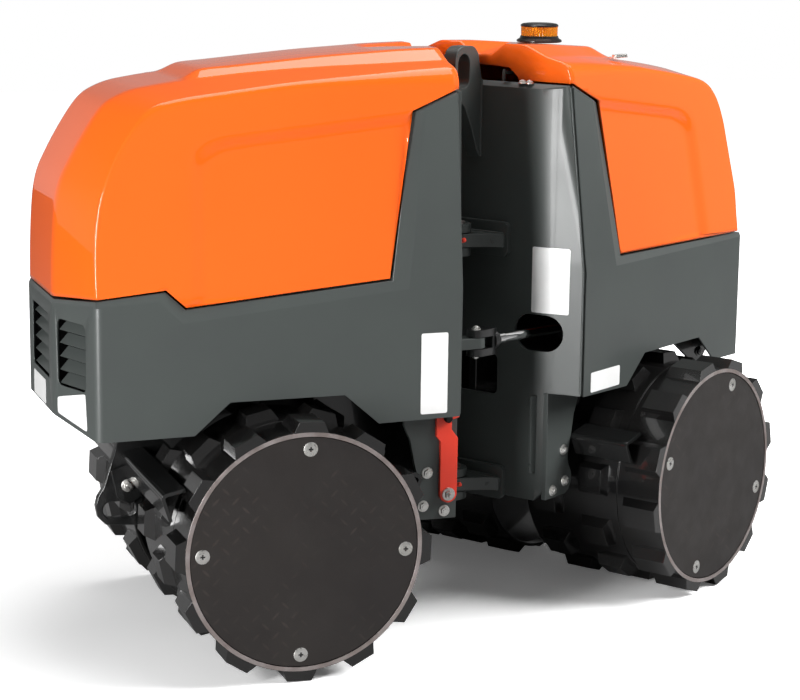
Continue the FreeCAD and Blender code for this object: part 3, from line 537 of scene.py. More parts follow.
def hex_bolt(x, y, z, facing, radius=10.0, height=7.5):
    """Flanged hexagon head standing on a plate across Y; facing is its outward sign."""
    flange = turned([(-1, radius * 1.35), (1.2, radius * 1.3), (2.4, radius)], 24)
    head = turned([(2.2, radius), (height - 1.2, radius), (height, radius * 0.84)], 6)
    shank = turned([(height - 1, radius * 0.5), (height + 1.5, radius * 0.45)], 20)
    bolt = merged(flange, head, shank)
    if facing < 0:
        bolt = mirrored(bolt)
    return moved(bolt, x, y, z)


def upright_bolt():
    """Hexagon head standing on a level face."""
    return placed(hex_bolt(0, 0, 0, 1, 8, 6), turn(90, "X"))


for module in MODULES:
    body, near = module + "_frame", NEAR[module]
    slot = oblong(*TOW_EYE, *TOW_SLOT, 12)
    plate = slab(sheet(CARRIER_OUTLINE, [slot], lambda x, z: (x, -WEB_HALF, z)), (0, 2 * WEB_HALF, 0))
    housing = turned([(-40, 108), (-34, 115), (34, 115), (40, 108)], 64)
    hanger = [(-105, AXLE_HEIGHT), (105, AXLE_HEIGHT), (150, DECK_LINE), (-150, DECK_LINE)]
    gusset = [(-322, 380), (-309, 318), (-280, 300), (-252, 318), (-246, 362), (-268, 400)]
    side = near * (WEB_HALF - 0.5)
    cheek = extruded(gusset, "y", side, side + near * 9)
    add_piece(f"{module}_tow_plate", merged(plate, cheek), body, frame_black,
              hides=[f"{module}_drum_carrier"], bevel=2.6, segments=3)
    housing = merged(moved(housing, z=AXLE_HEIGHT), extruded(hanger, "y", -40, 40))
    add_piece(f"{module}_axle_housing", housing, body, frame_black, bevel=4, segments=3)
    bolt = hex_bolt(-284, side + near * 9, 345, near, 11)
    add_piece(f"{module}_tow_bolts", bolt, body, zinc, bevel=0.5)
    stub = turned([(39, 60), (84, 60), (89, 55)], 48)
    add_piece(f"{module}_axle_stubs", moved(both(stub), z=AXLE_HEIGHT), body, machined,
              hides=[f"{module}_axle"], bevel=1)

# ---- Scraper bars
# Thick angle bars that run along the drums and clear the soil; each has a rolled outer corner
# and is painted gloss black.  The outer pair is bolted to the tow plate.
SCRAPER_THICKNESS = 8.0
BEND_OUTSIDE = 15.0
# outer corner (x, z), legs as (degrees above +X, length), and where the bar starts and ends in y
BARS = {"front": {"outer": ((-301.0, 418.0), ((11, 54), (-72, 62)), WEB_HALF, 390.0),
                  "inner": ((320.0, 381.0), ((161, 61), (-111, 60)), 217.0, 260.0)},
        "rear": {"outer": ((-301.0, 418.0), ((11, 54), (-72, 62)), WEB_HALF, 255.0),
                 "inner": ((318.0, 407.0), ((167, 68), (-117, 56)), 217.0, 368.0)}}


def angle_bar(corner, legs, start, end):
    """Rolled angle: two legs from an outer corner, each (degrees above +X, length)."""
    directions = [Vector((math.cos(math.radians(a)), math.sin(math.radians(a)))) for a, _ in legs]
    tip = Vector(corner)
    inner_lift = SCRAPER_THICKNESS / abs(directions[0].cross(directions[1]))
    inner = tip + (directions[0] + directions[1]) * inner_lift
    fifths = (0, 0.2, 0.4, 0.6, 0.8, 1)
    bends = [bend(point + directions[0] * back, point, point + directions[1] * back, fifths)
             for point, back in ((tip, BEND_OUTSIDE), (inner, BEND_OUTSIDE - SCRAPER_THICKNESS))]
    ends = [tip + d * length for d, (_, length) in zip(directions, legs)]
    inner_ends = [ends[0] + directions[1] * inner_lift, ends[1] + directions[0] * inner_lift]
    outline = [ends[0]] + bends[0] + [ends[1], inner_ends[1]] + bends[1][::-1] + [inner_ends[0]]
    return extruded([tuple(p) for p in outline], "y", start, end)


for module in MODULES:
    body = module + "_frame"
    for place, (corner, legs, start, end) in BARS[module].items():
        add_piece(f"{module}_{place}_scraper_bars", both(angle_bar(corner, legs, start, end)), body,
                  frame_black, hides=[f"{module}_{place}_scrapers"], bevel=1, sharp=40)

# ---- Body coat and lower side plates
# Charcoal powder coat, satin with a fine texture, on laser-cut plate.  The lower plates carry
# the inner scraper bars on three zinc bolts each.
charcoal = paint("charcoal_powder_coat", "charcoal_paint", "464A49", "494E4C", 0.36, 0.08, 0.00006)
CARRIER_FACE, CARRIER_THICKNESS = 217.0, 12.0
LOWER_OUTLINE = [(413, 268), (413, 518), (370, 518), (370, DECK_LINE), (300, DECK_LINE), (288, 486),
                 (303, 452), (313, 400), (323, 360), (323, 348), (318, 334), (309, 320), (306, 307),
                 (308, 292), (318, 276), (333, 268)]
PLATE_BOLTS = [(344, 375), (335, 300), (385, 286)]
for module in MODULES:
    body = module + "_frame"
    plates = both(extruded(LOWER_OUTLINE, "y", CARRIER_FACE - CARRIER_THICKNESS, CARRIER_FACE))
    add_piece(f"{module}_lower_plates", plates, body, charcoal, hides=[f"{module}_lower_side_plates"],
              bevel=1.2)
    bolts = both(merged(*[hex_bolt(x, CARRIER_FACE, z, 1) for x, z in PLATE_BOLTS]))
    add_piece(f"{module}_lower_plate_bolts", bolts, body, zinc, bevel=0.5)

# ---- Body shells
# Each module's skirt, three-facet end and leaning columns are one welded and folded shell of
# charcoal plate.  Its upper edge is folded in all round, where the hood comes down on it.
BODY_HALF, FOLD, LEAN = 296.0, 803.0, 0.117
NOSE_DEPTH, FACET_HALF, PLATE = 59.0, 133.0, 6.0
FOLD_RADIUS, FOLDED_IN = 22.0, 24.0
SHELLS = {
    "front": {"corner": -408.0, "corner_rim": 806.0, "nose_rim": 789.0,
              "rim": [(-261, 819, 4), (-219, 781, 6)], "fold": [(-275, 803), (-222, 753)]},
    "rear": {"corner": -314.0, "corner_rim": 818.0, "nose_rim": 812.0, "rim": [], "fold": []}}
COLUMN_RIM = [(233, 821, 7), (287, 1172, 10), (388, 1216, 3)]      # x, z and depth inwards
COLUMN_FOLD = [(264, FOLD), (315, 1181), (388, 1211)]
ARCH = [(-203, 514), (-126, 581), (126, 581), (203, 514), (388, 518)]
AIR_Z = (610.0, 752.0)
AIR_OPENINGS = {"middle": (-96.0, 96.0), "flank": (18.0, 132.0)}


def side_y(z):
    """Half the body's width: upright to the fold, leaning in above it."""
    return BODY_HALF - LEAN * max(0.0, z - FOLD)


def body_skin(corner, corner_rim, nose_rim, rim, fold):
    """Outer skin of one module with sharp folds; each fold carries its share of the radius."""
    form = bmesh.new()
    outer_x = corner - NOSE_DEPTH
    folds = [(corner, corner_rim - 10)] + fold + COLUMN_FOLD
    edge = [(corner, corner_rim, 4)] + rim + COLUMN_RIM
    creases = []
    ends, facets = {}, {}
    for s in (-1, 1):
        skirt = [form.verts.new((x, s * BODY_HALF, z)) for x, z in [(corner, 512)] + ARCH + [(388, FOLD)]]
        upper = [form.verts.new((x, s * side_y(z), z)) for x, z in folds]
        lip = [form.verts.new((x, s * (side_y(z) - deep), z)) for x, z, deep in edge]
        under = [form.verts.new((v.co.x, v.co.y - s * FOLDED_IN, v.co.z)) for v in lip]
        form.faces.new(skirt + upper[-3::-1])
        form.faces.new([upper[-3], skirt[-1], upper[-1], upper[-2]])
        for i in range(len(upper) - 1):
            form.faces.new((upper[i], upper[i + 1], lip[i + 1], lip[i]))
            form.faces.new((lip[i], lip[i + 1], under[i + 1], under[i]))
            creases += [(upper[i], upper[i + 1], 0.30), (lip[i], lip[i + 1], 0.10)]
        creases.append((skirt[0], upper[0], 1.0))
        ends[s] = (skirt[0], upper[0], lip[0], under[0])
        y = s * FACET_HALF
        facets[s] = [form.verts.new(p) for p in (
            (outer_x, y, 543), (outer_x, y, nose_rim - 10), (outer_x + 4, y, nose_rim),
            (outer_x + FOLDED_IN, y, nose_rim))]
        creases.append((facets[s][0], facets[s][1], 0.7))
    for a, b in ((ends[-1], facets[-1]), (facets[-1], facets[1]), (facets[1], ends[1])):
        for i, weight in enumerate((0.30, 0.10, 0)):
            form.faces.new((a[i], b[i], b[i + 1], a[i + 1]))
            creases.append((a[i + 1], b[i + 1], weight))
    weights = form.edges.layers.float.new("bevel_weight_edge")
    for a, b, weight in creases:
        form.edges.get((a, b))[weights] = weight
    return outwards(form, Vector((0, -1, 0)))


def with_rounded_folds(form):
    """Bake the folds' radii into the skin."""
    skin = object_of("skin", form)
    folds = skin.modifiers.new("folds", "BEVEL")
    folds.width, folds.segments, folds.limit_method = FOLD_RADIUS, 5, "WEIGHT"
    rounded = shape_with_modifiers(skin)
    bpy.data.objects.remove(skin)
    return rounded


def rounded_rectangle(a0, a1, b0, b1, radius):
    middles = [(a1 - radius, b1 - radius), (a0 + radius, b1 - radius), (a0 + radius, b0 + radius),
               (a1 - radius, b0 + radius)]
    return [p for i, middle in enumerate(middles) for p in arc(*middle, radius, 90 * i, 90 * (i + 1), 6)]


FLANK_SLOPE = math.atan2(NOSE_DEPTH, BODY_HALF - FACET_HALF)


def flank_to_body(corner):
    """Carries a form drawn beside the middle facet's edge round onto the +Y chamfer facet."""
    edge = Matrix.Translation((corner - NOSE_DEPTH, FACET_HALF, 0))
    return edge @ Matrix.Rotation(-FLANK_SLOPE, 4, "Z")


def with_air_openings(form, corner):
    """Swap the three end facets for skins with a rounded opening each."""
    onto = flank_to_body(corner)
    facets = (("middle", Matrix.Translation((corner - NOSE_DEPTH, 0, 0))), ("flank", onto),
              ("flank", FAR_SIDE @ onto))
    for name, place in facets:
        back = place.inverted()
        face = max((f for f in form.faces if all(abs((back @ v.co).x) < 0.05 for v in f.verts)),
                   key=lambda f: f.calc_area())
        outline = [(back @ v.co).yz[:] for v in face.verts]
        bmesh.ops.delete(form, geom=[face], context="FACES_ONLY")
        hole = rounded_rectangle(*AIR_OPENINGS[name], *AIR_Z, 14)
        patch = sheet(outline, [hole], lambda a, b: place @ Vector((0, a, b)))
        form = merged(form, patch)
    bmesh.ops.remove_doubles(form, verts=form.verts, dist=0.02)
    return outwards(form, Vector((-1, 0, 0)))


for module in MODULES:
    body = module + "_frame"
    shape = SHELLS[module]
    skin = with_air_openings(with_rounded_folds(body_skin(**shape)), shape["corner"])
    shell = add_piece(f"{module}_body_shell", skin, body, charcoal,
                      hides=[f"{module}_side_plates", f"{module}_end_panel"], sharp=30)
    plate = shell.modifiers.new("plate", "SOLIDIFY")
    plate.thickness, plate.offset, plate.use_even_offset = PLATE * MM, -1, False
    flats = shell.modifiers.new("flat_faces", "WEIGHTED_NORMAL")
    flats.keep_sharp = True

# ---- Air slats
# Fixed tilted slats behind the three air openings of each end, pressed from the same plate,
# in front of a near-black duct that paints the shade inside the nose.
SLATS = 5
# near-black screen with a fine cell relief: painted shade, so the openings look deep and dark
painted_shade_black, tree, shader, where = new_finish("painted_shade_black_screen", "black_plastic", Roughness=0.8)
tree.links.new(mottle(tree, where, 120, colour("060606"), colour("101010")), shader.inputs["Base Color"])
cells = add_node(tree, "ShaderNodeTexVoronoi", {"Vector": where, "Scale": 400})
relief(tree, shader, cells.outputs["Distance"], 0.001, 0.8)


def slats_down_an_opening():
    """Node tree: copies of a slat at an even pitch up an opening."""
    tree, given = layout_tree("slats_down_an_opening", ("Copies", "Int"), ("Pitch", "Float"))
    step = add_node(tree, "ShaderNodeCombineXYZ", {"Z": given["Pitch"]}).outputs[0]
    line = add_node(tree, "GeometryNodeMeshLine", {"Count": given["Copies"], "Offset": step},
                    mode="OFFSET")
    return end_layout(tree, given, line.outputs[0])


slat_rows = slats_down_an_opening()
slat_pitch = (AIR_Z[1] - AIR_Z[0]) / SLATS


def slat_set(x, y0, y1):
    """Slats of one opening: a lip that leans back, with a folded lower edge."""
    low = AIR_Z[0] + slat_pitch * 0.12
    outline = [(x + 7, low), (x + 9.6, low - 1.2), (x + 30, low + slat_pitch * 0.62),
               (x + 28, low + slat_pitch * 0.62 + 2)]
    return arranged(slat_rows, extruded(outline, "y", y0, y1), Copies=SLATS, Pitch=slat_pitch,
                    Finish=charcoal)


for module in MODULES:
    body = module + "_frame"
    corner = SHELLS[module]["corner"]
    nose = corner - NOSE_DEPTH
    slats = merged(slat_set(nose, *AIR_OPENINGS["middle"]),
                   both(placed(slat_set(0, *AIR_OPENINGS["flank"]), flank_to_body(corner))))
    add_piece(f"{module}_slats", slats, body, charcoal, hides=[f"{module}_air_slats"], bevel=0.6)
    # the duct's lips, back screen and dividers are painted shade: near-black sheets behind the openings
    lip_plan = [(corner + 9, -280), (nose + 9, -FACET_HALF), (nose + 9, FACET_HALF), (corner + 9, 280)]
    screen_plan = [(x + 28, y) for x, y in lip_plan]
    back = [(corner + 60, 280), (corner + 60, -280)]
    duct = [extruded(lip_plan + back, "z", z, z + 8) for z in (592, 764)]
    duct.append(extruded(screen_plan + back, "z", 599, 765))
    divider = [(nose + 7, 116), (nose + 40, 116), (nose + 40, 122), (nose + 9, 122)]
    duct.append(both(extruded(divider, "z", 596, 768)))
    add_piece(f"{module}_air_duct", merged(*duct), body, painted_shade_black)

# ---- End walls
# The plate towards the hinge is bent round in plan; the rear one has the openings for the
# steering cylinder and its hoses.  Its edges are seam-welded to the columns.
WALL_FACE, WALL_THICKNESS, WALL_TOP, WALL_FOOT = 415.0, 10.0, 1216.0, 262.0
WALL_WING = 288.0
BEND_FROM, BEND_TO, BEND_DEPTH, WING_X = 165.0, 225.0, 11.0, 388.0


def wall_x(y):
    """Hinge-side face of the end wall: flat middle, rounded bend, straight wing."""
    y = abs(y)
    if y <= BEND_FROM:
        return WALL_FACE
    if y <= BEND_TO:
        return WALL_FACE - BEND_DEPTH * ((y - BEND_FROM) / (BEND_TO - BEND_FROM)) ** 2
    run = (y - BEND_TO) / (WALL_WING - BEND_TO)
    return WALL_FACE - BEND_DEPTH + (WING_X - WALL_FACE + BEND_DEPTH) * run


def end_wall(holes):
    """Bent plate, as wide at each height as the columns that it closes."""
    foot, corner_cut = 205.0, 22.0
    half = [(foot - corner_cut, WALL_FOOT), (foot, WALL_FOOT + corner_cut), (foot, 518), (WALL_WING, 518),
            (WALL_WING, FOLD), (side_y(WALL_TOP) - 8, WALL_TOP)]
    outline = half + [(-y, z) for y, z in reversed(half)]
    bends = [y for i in range(13) for y in (BEND_FROM + 5 * i, -BEND_FROM - 5 * i)]
    grid = [(y, z) for y in bends for z in range(270, 1216, 24)]
    face = outwards(sheet(outline, holes, lambda y, z: (wall_x(y), y, z), grid), Vector((1, 0, 0)))
    return slab(face, (-WALL_THICKNESS, 0, 0))


CYLINDER_HEIGHT = 655.0
CYLINDER_HOLE = oblong(182.5, CYLINDER_HEIGHT, 19.5, 42, 14)
HOSE_HOLE = rounded_rectangle(-40, 76, 497, 592, 14)
for module in MODULES:
    body = module + "_frame"
    holes = [CYLINDER_HOLE, HOSE_HOLE] if module == "rear" else []
    add_piece(f"{module}_wall", end_wall(holes), body, charcoal, hides=[f"{module}_end_wall"],
              bevel=1.5, sharp=40)

# ---- Seam welds
# Ripple beads of weld along both upright corners of the end walls, where the plate meets the
# columns.  They are left as laid and coated with the plate.
BEAD_PITCH, BEAD_RADIUS = 4.2, 3.4


def bead(start, end):
    """Weld bead between two points: overlapping ripples of a round bar."""
    start, end = Vector(start), Vector(end)
    count = max(2, round((end - start).length / BEAD_PITCH))
    profile = []
    for i in range(count):
        profile += [((i + 0.1) * BEAD_PITCH, BEAD_RADIUS * 0.82), ((i + 0.5) * BEAD_PITCH, BEAD_RADIUS),
                    ((i + 0.9) * BEAD_PITCH, BEAD_RADIUS * 0.86)]
    lay = (end - start).to_track_quat("Y", "Z").to_matrix().to_4x4()
    return placed(turned([(0, 0)] + profile + [(count * BEAD_PITCH, 0)], 7, False),
                  Matrix.Translation(start) @ lay)


for module in MODULES:
    body = module + "_frame"
    seams = []
    for heights in ((522, FOLD), (FOLD, WALL_TOP - 4)):
        seams.append(bead(*[(wall_x(WALL_WING) + 1.5, side_y(z) - 7.5, z) for z in heights]))
    add_piece(f"{module}_wall_seams", both(merged(*seams)), body, charcoal, sharp=60)

# ---- Steering hinge
# Flame-cut ears on the front wall hold a single thick tongue from the rear wall, above and
# below, on 32 mm steel pins.  All welded, then powder coated; red caps cover the grease points.
PIN_REACH, PIN_RADIUS, HEAD_RADIUS = 484.0, 16.0, 23.0
PIN_HEIGHTS = (860.0, 291.0)
TONGUE_HALF, EAR_GAP, EAR_THICKNESS = 15.0, 2.0, 20.0
FLANGE_HALF, FLANGE_THICKNESS = 106.0, 12.0


def ear(root_half, radius, root_x, waist):
    """Plan of an ear: wide at the wall, drawn in by the waist, round at the pin."""
    tip = arc(PIN_REACH, 0, radius, -65, 65, 18)
    shoulder = Vector((root_x + 6, root_half))
    drawn_in = shoulder.lerp(Vector(tip[-1]), 0.5) - Vector((1, 1)).normalized() * waist
    flank = [(root_x, root_half), tuple(shoulder)]
    flank += [tuple(p) for p in bend(shoulder, drawn_in, tip[-1], (0.2, 0.4, 0.6, 0.8))]
    return [(x, -y) for x, y in flank] + tip + flank[::-1]


def standing(profile, x, y, steps=64, capped=True):
    """Solid of revolution about an upright axis from (height, radius) points."""
    return moved(placed(turned(profile, steps, capped), turn(90, "X")), x, y)


ears, pins, ear_welds = [], [], []
for height in PIN_HEIGHTS:
    low, top = [height + side * (TONGUE_HALF + EAR_GAP + EAR_THICKNESS) for side in (-1, 1)]
    ears += [extruded(ear(70, 36, WALL_FACE, 5), "z", z, z + EAR_THICKNESS)
             for z in (low, top - EAR_THICKNESS)]
    pins.append(standing([(low - 4, PIN_RADIUS - 2), (low - 2, PIN_RADIUS), (top - 1, PIN_RADIUS),
                          (top - 1, HEAD_RADIUS), (top + 3, HEAD_RADIUS), (top + 4, HEAD_RADIUS - 2)],
                         PIN_REACH, 0))
    ear_welds += [bead((WALL_FACE + 1, -68, z), (WALL_FACE + 1, 68, z)) for z in (low - 1, top + 1)]
add_piece("steering_ears", merged(*ears), "front_frame", charcoal, hides=["front_fork_ears"], bevel=2)
add_piece("steering_ear_welds", merged(*ear_welds), "front_frame", charcoal, sharp=60)
add_piece("steering_pin_set", merged(*pins), "front_frame", machined, hides=["steering_pins"], bevel=0.5)

tongues, flange_welds, grease_caps = [], [], []
flange_face = WALL_FACE + FLANGE_THICKNESS
flange = [(-FLANGE_HALF, -28), (-97, -37), (97, -37), (FLANGE_HALF, -28), (FLANGE_HALF, 32), (97, 41),
          (-97, 41), (-FLANGE_HALF, 32)]
for height in PIN_HEIGHTS:
    low, top = height - TONGUE_HALF, height + TONGUE_HALF
    tongues.append(extruded(ear(98, 34, flange_face - 1, 10), "z", low, top))
    tongues.append(extruded([(y, height + z) for y, z in flange], "x", WALL_FACE - 1, flange_face))
    flange_welds += [bead((flange_face, -95, z), (flange_face, 95, z)) for z in (low, top)]
    tongues.append(both(moved(placed(hex_bolt(0, 0, 0, 1, 6.5, 5), turn(-35, "Z")), 443, 75, height)))
    nipple = [(0, 0), (0, 5), (6, 5), (7, 3.2), (11, 3.2), (14, 5.5), (17, 4), (18, 0)]
    cap = standing(nipple, 0, 0, 20, capped=False)
    grease_caps.append(moved(placed(cap, turn(-27, "Z") @ turn(-75, "X")), 499, 29, height))
add_piece("steering_tongues", merged(*tongues), "rear_frame", charcoal, hides=["rear_tongues"], bevel=1.8)
add_piece("steering_tongue_welds", merged(*flange_welds), "rear_frame", charcoal, sharp=60)
# half-gloss red enamel marks what is gripped or greased
signal_red = paint("signal_red_paint", "red_paint", "FF4A34", "F8402C", 0.42, 0.15)
add_piece("grease_caps", merged(*grease_caps), "rear_frame", signal_red, sharp=40)

# ---- Lifting lug
# One 34 mm flame-cut steel plate stands over the hinge, with an oblong eye for a shackle.  It is
# welded to the rear wall down both faces and coated with it.
LUG_HALF = 17.0
LUG_OUTLINE = ([(414, 1040), (414, 1222), (425, 1262)] + arc(459, 1262, 34, 172, 90, 8)
               + arc(483, 1262, 34, 90, 0, 8)
               + [(517, 1200), (503, 1178), (478, 1160), (450, 1110), (429, 1060)])
slot_eye = [(x, z) for z, x in oblong(1240, PIN_REACH, 16, 22, 12)]
lug = sheet(LUG_OUTLINE, [slot_eye], lambda x, z: (x, -LUG_HALF, z))
add_piece("lifting_lug_plate", slab(lug, (0, 2 * LUG_HALF, 0)), "rear_frame", charcoal,
          hides=["lifting_lug"], bevel=2.2, segments=3)
lug_welds = both(bead((416, LUG_HALF, 1044), (416, LUG_HALF, 1219)))
add_piece("lifting_lug_welds", lug_welds, "rear_frame", charcoal, sharp=60)

# ---- Steering lock bar
# Red flat bar parked upright on the near lower plate, held by a zinc nut on a stud below and a
# black rubber buffer above.
bar = (arc(391, 326, 20, 180, 360, 12)
       + [(412, 452), (397, 472), (397, 512), (388, 514), (388, 528), (361, 528), (361, 458), (371, 446)])
near_face, bar_face = -CARRIER_FACE, -CARRIER_FACE - 9.5
add_piece("lock_bar_plate", extruded(bar, "y", bar_face, near_face), "front_frame", signal_red,
          hides=["lock_bar"], bevel=1.2)
washer = mirrored(turned([(0, 15), (2.5, 15)], 32))
stud = mirrored(turned([(0, 6), (19, 6), (20, 5)], 20))
nut = hex_bolt(0, -2.5, 0, -1, 11, 10)
add_piece("lock_bar_nut", moved(merged(washer, nut, stud), 391, bar_face, 326), "front_frame", zinc,
          bevel=0.4)
buffer = mirrored(turned([(0, 0), (0, 9), (8, 10), (13, 7), (14, 0)], 28, False))
tab = extruded([(393, 494), (413, 500), (413, 507), (393, 507)], "y", -230, -226)
add_piece("lock_bar_handle", tab, "front_frame", signal_red, bevel=0.8)
# moulded rubber: dull black with a broad, faint highlight
rubber = mottled("black_rubber", "black_plastic", 60, "0E0E0E", "171717",
                 **{"Roughness": 0.55, "Specular IOR Level": 0.4})
add_piece("lock_bar_buffer", moved(buffer, 386, bar_face + 0.5, 499), "front_frame", rubber, sharp=40)

# ---- Steering cylinder
# Chromed 23 mm rod with a cast clevis on a plate welded to the front wall; the black barrel
# swings on a pin inside the rear body.
ROD_PIN = (469.0, -178.0)
BRACKET_HALF, BRACKET_THICKNESS = 20.0, 24.0
BARREL_LENGTH, BARREL_RADIUS, ROD_RADIUS = 288.0, 30.0, 11.5
low, high = CYLINDER_HEIGHT - BRACKET_THICKNESS / 2, CYLINDER_HEIGHT + BRACKET_THICKNESS / 2
plan = ([(WALL_FACE - 1, ROD_PIN[1] - 26)] + arc(*ROD_PIN, BRACKET_HALF, -90, 90, 18)
        + [(WALL_FACE - 1, ROD_PIN[1] + 26)])
add_piece("rod_bracket_plate", extruded(plan, "z", low, high), "front_frame", charcoal,
          hides=["rod_bracket"], bevel=1.5)

pivot = Vector(joints["cylinder_swing"]["pos_m"])
to_eye = PLACING["front_frame"] @ Vector((*ROD_PIN, CYLINDER_HEIGHT)) - pivot
reach, along = to_eye.length / MM, to_eye.normalized()
for body in ("cylinder_barrel", "cylinder_rod"):
    PLACING[body] = Matrix.Translation(pivot) @ axes(along, UP.cross(along), UP) @ Matrix.Scale(MM, 4)


def lengthways(profile, steps=40):
    """Solid of revolution along +X from (x, radius) points."""
    return placed(turned(profile, steps), turn(-90, "Z"))


YOKE_HALF, YOKE_ARM, YOKE_REACH = 21.0, 17.0, 46.0
shoulder = reach - YOKE_REACH
inner = BRACKET_THICKNESS / 2 + 1
arm = ([(shoulder, -17), (shoulder + 12, -YOKE_HALF)] + arc(reach, 0, YOKE_HALF, -90, 90, 14)
       + [(shoulder + 12, YOKE_HALF), (shoulder, 17)])
arms = [extruded(arm, "z", z, z + YOKE_ARM) for z in (-inner - YOKE_ARM, inner)]
back = extruded([(shoulder, -18), (shoulder + 14, -YOKE_HALF), (shoulder + 14, YOKE_HALF),
                 (shoulder, 18)], "z", -inner - 0.5, inner + 0.5)
collar = lengthways([(shoulder - 19, 16), (shoulder - 17.5, 17.5), (shoulder - 8, 17.5),
                     (shoulder - 8, 22.5), (shoulder - 6.5, 24), (shoulder + 4, 24)])
# sand-cast steel under gloss black: a pitted skin that breaks up its highlights
cast_black = mottled("black_cast_clevis", "cast_black", 30, "0B0B0C", "161616", (60, 0.3, 0.42),
                     (400, 3, 0.0001, 0.6), **{"Coat Weight": 0.8, "Coat Roughness": 0.12})
add_piece("cylinder_clevis", merged(*arms, back, collar), "cylinder_rod", cast_black,
          hides=["cylinder_rod"], bevel=2.2, segments=3)
pin_heads = [moved(placed(upright_bolt(), turn(turned_over, "X")), reach, 0, z)
             for turned_over, z in ((180, -inner - YOKE_ARM), (0, inner + YOKE_ARM))]
add_piece("cylinder_pin_heads", merged(*pin_heads), "cylinder_rod", zinc, bevel=0.4)
rod = lengthways([(BARREL_LENGTH - 40, ROD_RADIUS), (shoulder - 38, ROD_RADIUS),
                  (shoulder - 37, 13.5), (shoulder - 17.5, 13.5)], 48)
add_piece("cylinder_rod_bar", rod, "cylinder_rod", chrome, bevel=0.3)
barrel = lengthways([(20, 26), (26, BARREL_RADIUS), (BARREL_LENGTH - 26, BARREL_RADIUS),
                     (BARREL_LENGTH - 25, BARREL_RADIUS - 2), (BARREL_LENGTH - 22, BARREL_RADIUS - 2),
                     (BARREL_LENGTH - 21, BARREL_RADIUS), (BARREL_LENGTH - 2, BARREL_RADIUS),
                     (BARREL_LENGTH, BARREL_RADIUS - 2), (BARREL_LENGTH, ROD_RADIUS + 1.5),
                     (48, ROD_RADIUS + 1.5)], 48)
eye = merged(standing([(-15, 22), (15, 22)], 0, 0, 40),
             extruded([(0, -15), (30, -15), (30, 15), (0, 15)], "z", -14, 14))
ports = merged(*[standing([(24, 11), (37, 11), (38, 10)], x, 0, 24) for x in (62, 240)])
add_piece("cylinder_barrel_tube", merged(barrel, eye, ports), "cylinder_barrel", frame_black,
          hides=["cylinder_barrel"], bevel=0.8)
x, y = 30.0, 236.0
side = BODY_HALF - PLATE
shelf = [(x - 60, y - 24), (x + 10, y - 24), (x + 22, y - 12), (x + 22, side), (x - 60, side)]
mount = [extruded(shelf, "z", CYLINDER_HEIGHT + z, CYLINDER_HEIGHT + z + 12) for z in (-29, 17)]
mount.append(extruded([(x - 60, y - 24), (x - 44, y - 24), (x - 44, side), (x - 60, side)], "z", 594,
                      CYLINDER_HEIGHT + 29))
mount.append(standing([(CYLINDER_HEIGHT - 31, 11), (CYLINDER_HEIGHT + 31, 11)], x, y, 32))
add_piece("cylinder_mount", merged(*mount), "rear_frame", charcoal, hides=["barrel_mount"], bevel=1.2)

# ---- Rear wall angle bars
# Short steel stiffeners beside the lower plates, each with a drain notch.  They are welded to the
# rear wall and coated with it.
bar_side = [(WALL_FACE - 1, 330), (WALL_FACE + 13, 330), (WALL_FACE + 17, 334), (WALL_FACE + 17, 344),
            (WALL_FACE + 11, 350), (WALL_FACE + 17, 356), (WALL_FACE + 17, 511), (WALL_FACE - 1, 511)]
slant = (Matrix.Translation((WALL_FACE, 184, 0)) @ turn(-10, "Z")
         @ Matrix.Translation((-WALL_FACE, -184, 0)))
bar = placed(extruded(bar_side, "y", 182, 187), slant)
add_piece("rear_wall_stiffeners", both(bar), "rear_frame", charcoal, bevel=1)

# ---- Drum guards
# Black enamelled steel plates under each arch keep stones off the inner drum rows.  Each is held
# beside the deck by one bolt, enamelled with it.
GUARD = [(-283, DECK_LINE), (-283, 524), (-262, 503), (-236, 474), (-190, 513), (-130, 553), (-62, 578),
         (-62, DECK_LINE)]
for module in MODULES:
    body = module + "_frame"
    guard = both(merged(extruded(GUARD, "y", 222, 230), hex_bolt(-240, 230, 521, 1, 10)))
    add_piece(f"{module}_drum_guards", guard, body, frame_black, bevel=1)

# ---- Decks
# Folded steel floor plates under the engine and the oil tank, welded in and coated with the
# bodies.  They keep the frame's plain shape and only take the coat.
for module in MODULES:
    for slot in frame["nodes"][module + "_deck"].material_slots:
        slot.material = charcoal

# ---- Engine
# A small air-cooled diesel: sand-cast grey iron crankcase, finned barrel and rocker cover, with a
# pressed black fan housing, air filter and silencer bolted to it.
# grey paint on sand-cast iron: dull, with the grain of the mould
engine_cast = mottled("grey_cast_engine", "engine_grey", 8, "55585A", "6A6E70", (25, 0.5, 0.62),
                      (260, 4, 0.0003, 0.7), **{"Specular IOR Level": 0.4})
DECK_TOP = 595.0
crankcase = [(-150, DECK_TOP), (150, DECK_TOP), (165, 640), (165, 745), (105, 802), (-105, 802),
             (-165, 745), (-165, 640)]
FINS, FIN_PITCH = 10, 19.0
fin = extruded(rounded_rectangle(-155, 115, -84, 84, 22), "z", 816, 820)
fins = arranged(slat_rows, fin, Copies=FINS, Pitch=FIN_PITCH, Finish=engine_cast)
castings = merged(extruded(crankcase, "x", -212, 170),
                  extruded(rounded_rectangle(-125, 85, -60, 60, 30), "z", 795, 1012),
                  extruded(rounded_rectangle(-130, 90, -74, 74, 26), "z", 1010, 1052), fins)
castings = merged(castings, *[moved(upright_bolt(), x, 0, 1052) for x in (-95, 55)])
add_piece("engine_castings", castings, "front_frame", engine_cast, hides=["engine_block"], bevel=1.5)
grooves = [(x, radius + wide) for radius in range(38, 146, 18)
           for x, wide in ((-254, 0), (-246, 0), (-246, 11), (-254, 11))]
housing = moved(lengthways(grooves + [(-254, 150), (-246, 158), (-210, 158)], 72), 0, 0, 755)
filter_can = lengthways([(-130, 46), (-124, 51), (40, 51), (44, 47), (52, 47), (56, 51), (96, 51),
                         (102, 46)])
silencer = lengthways([(-140, 30), (-132, 47), (-126, 49), (90, 49), (96, 47), (104, 30)])
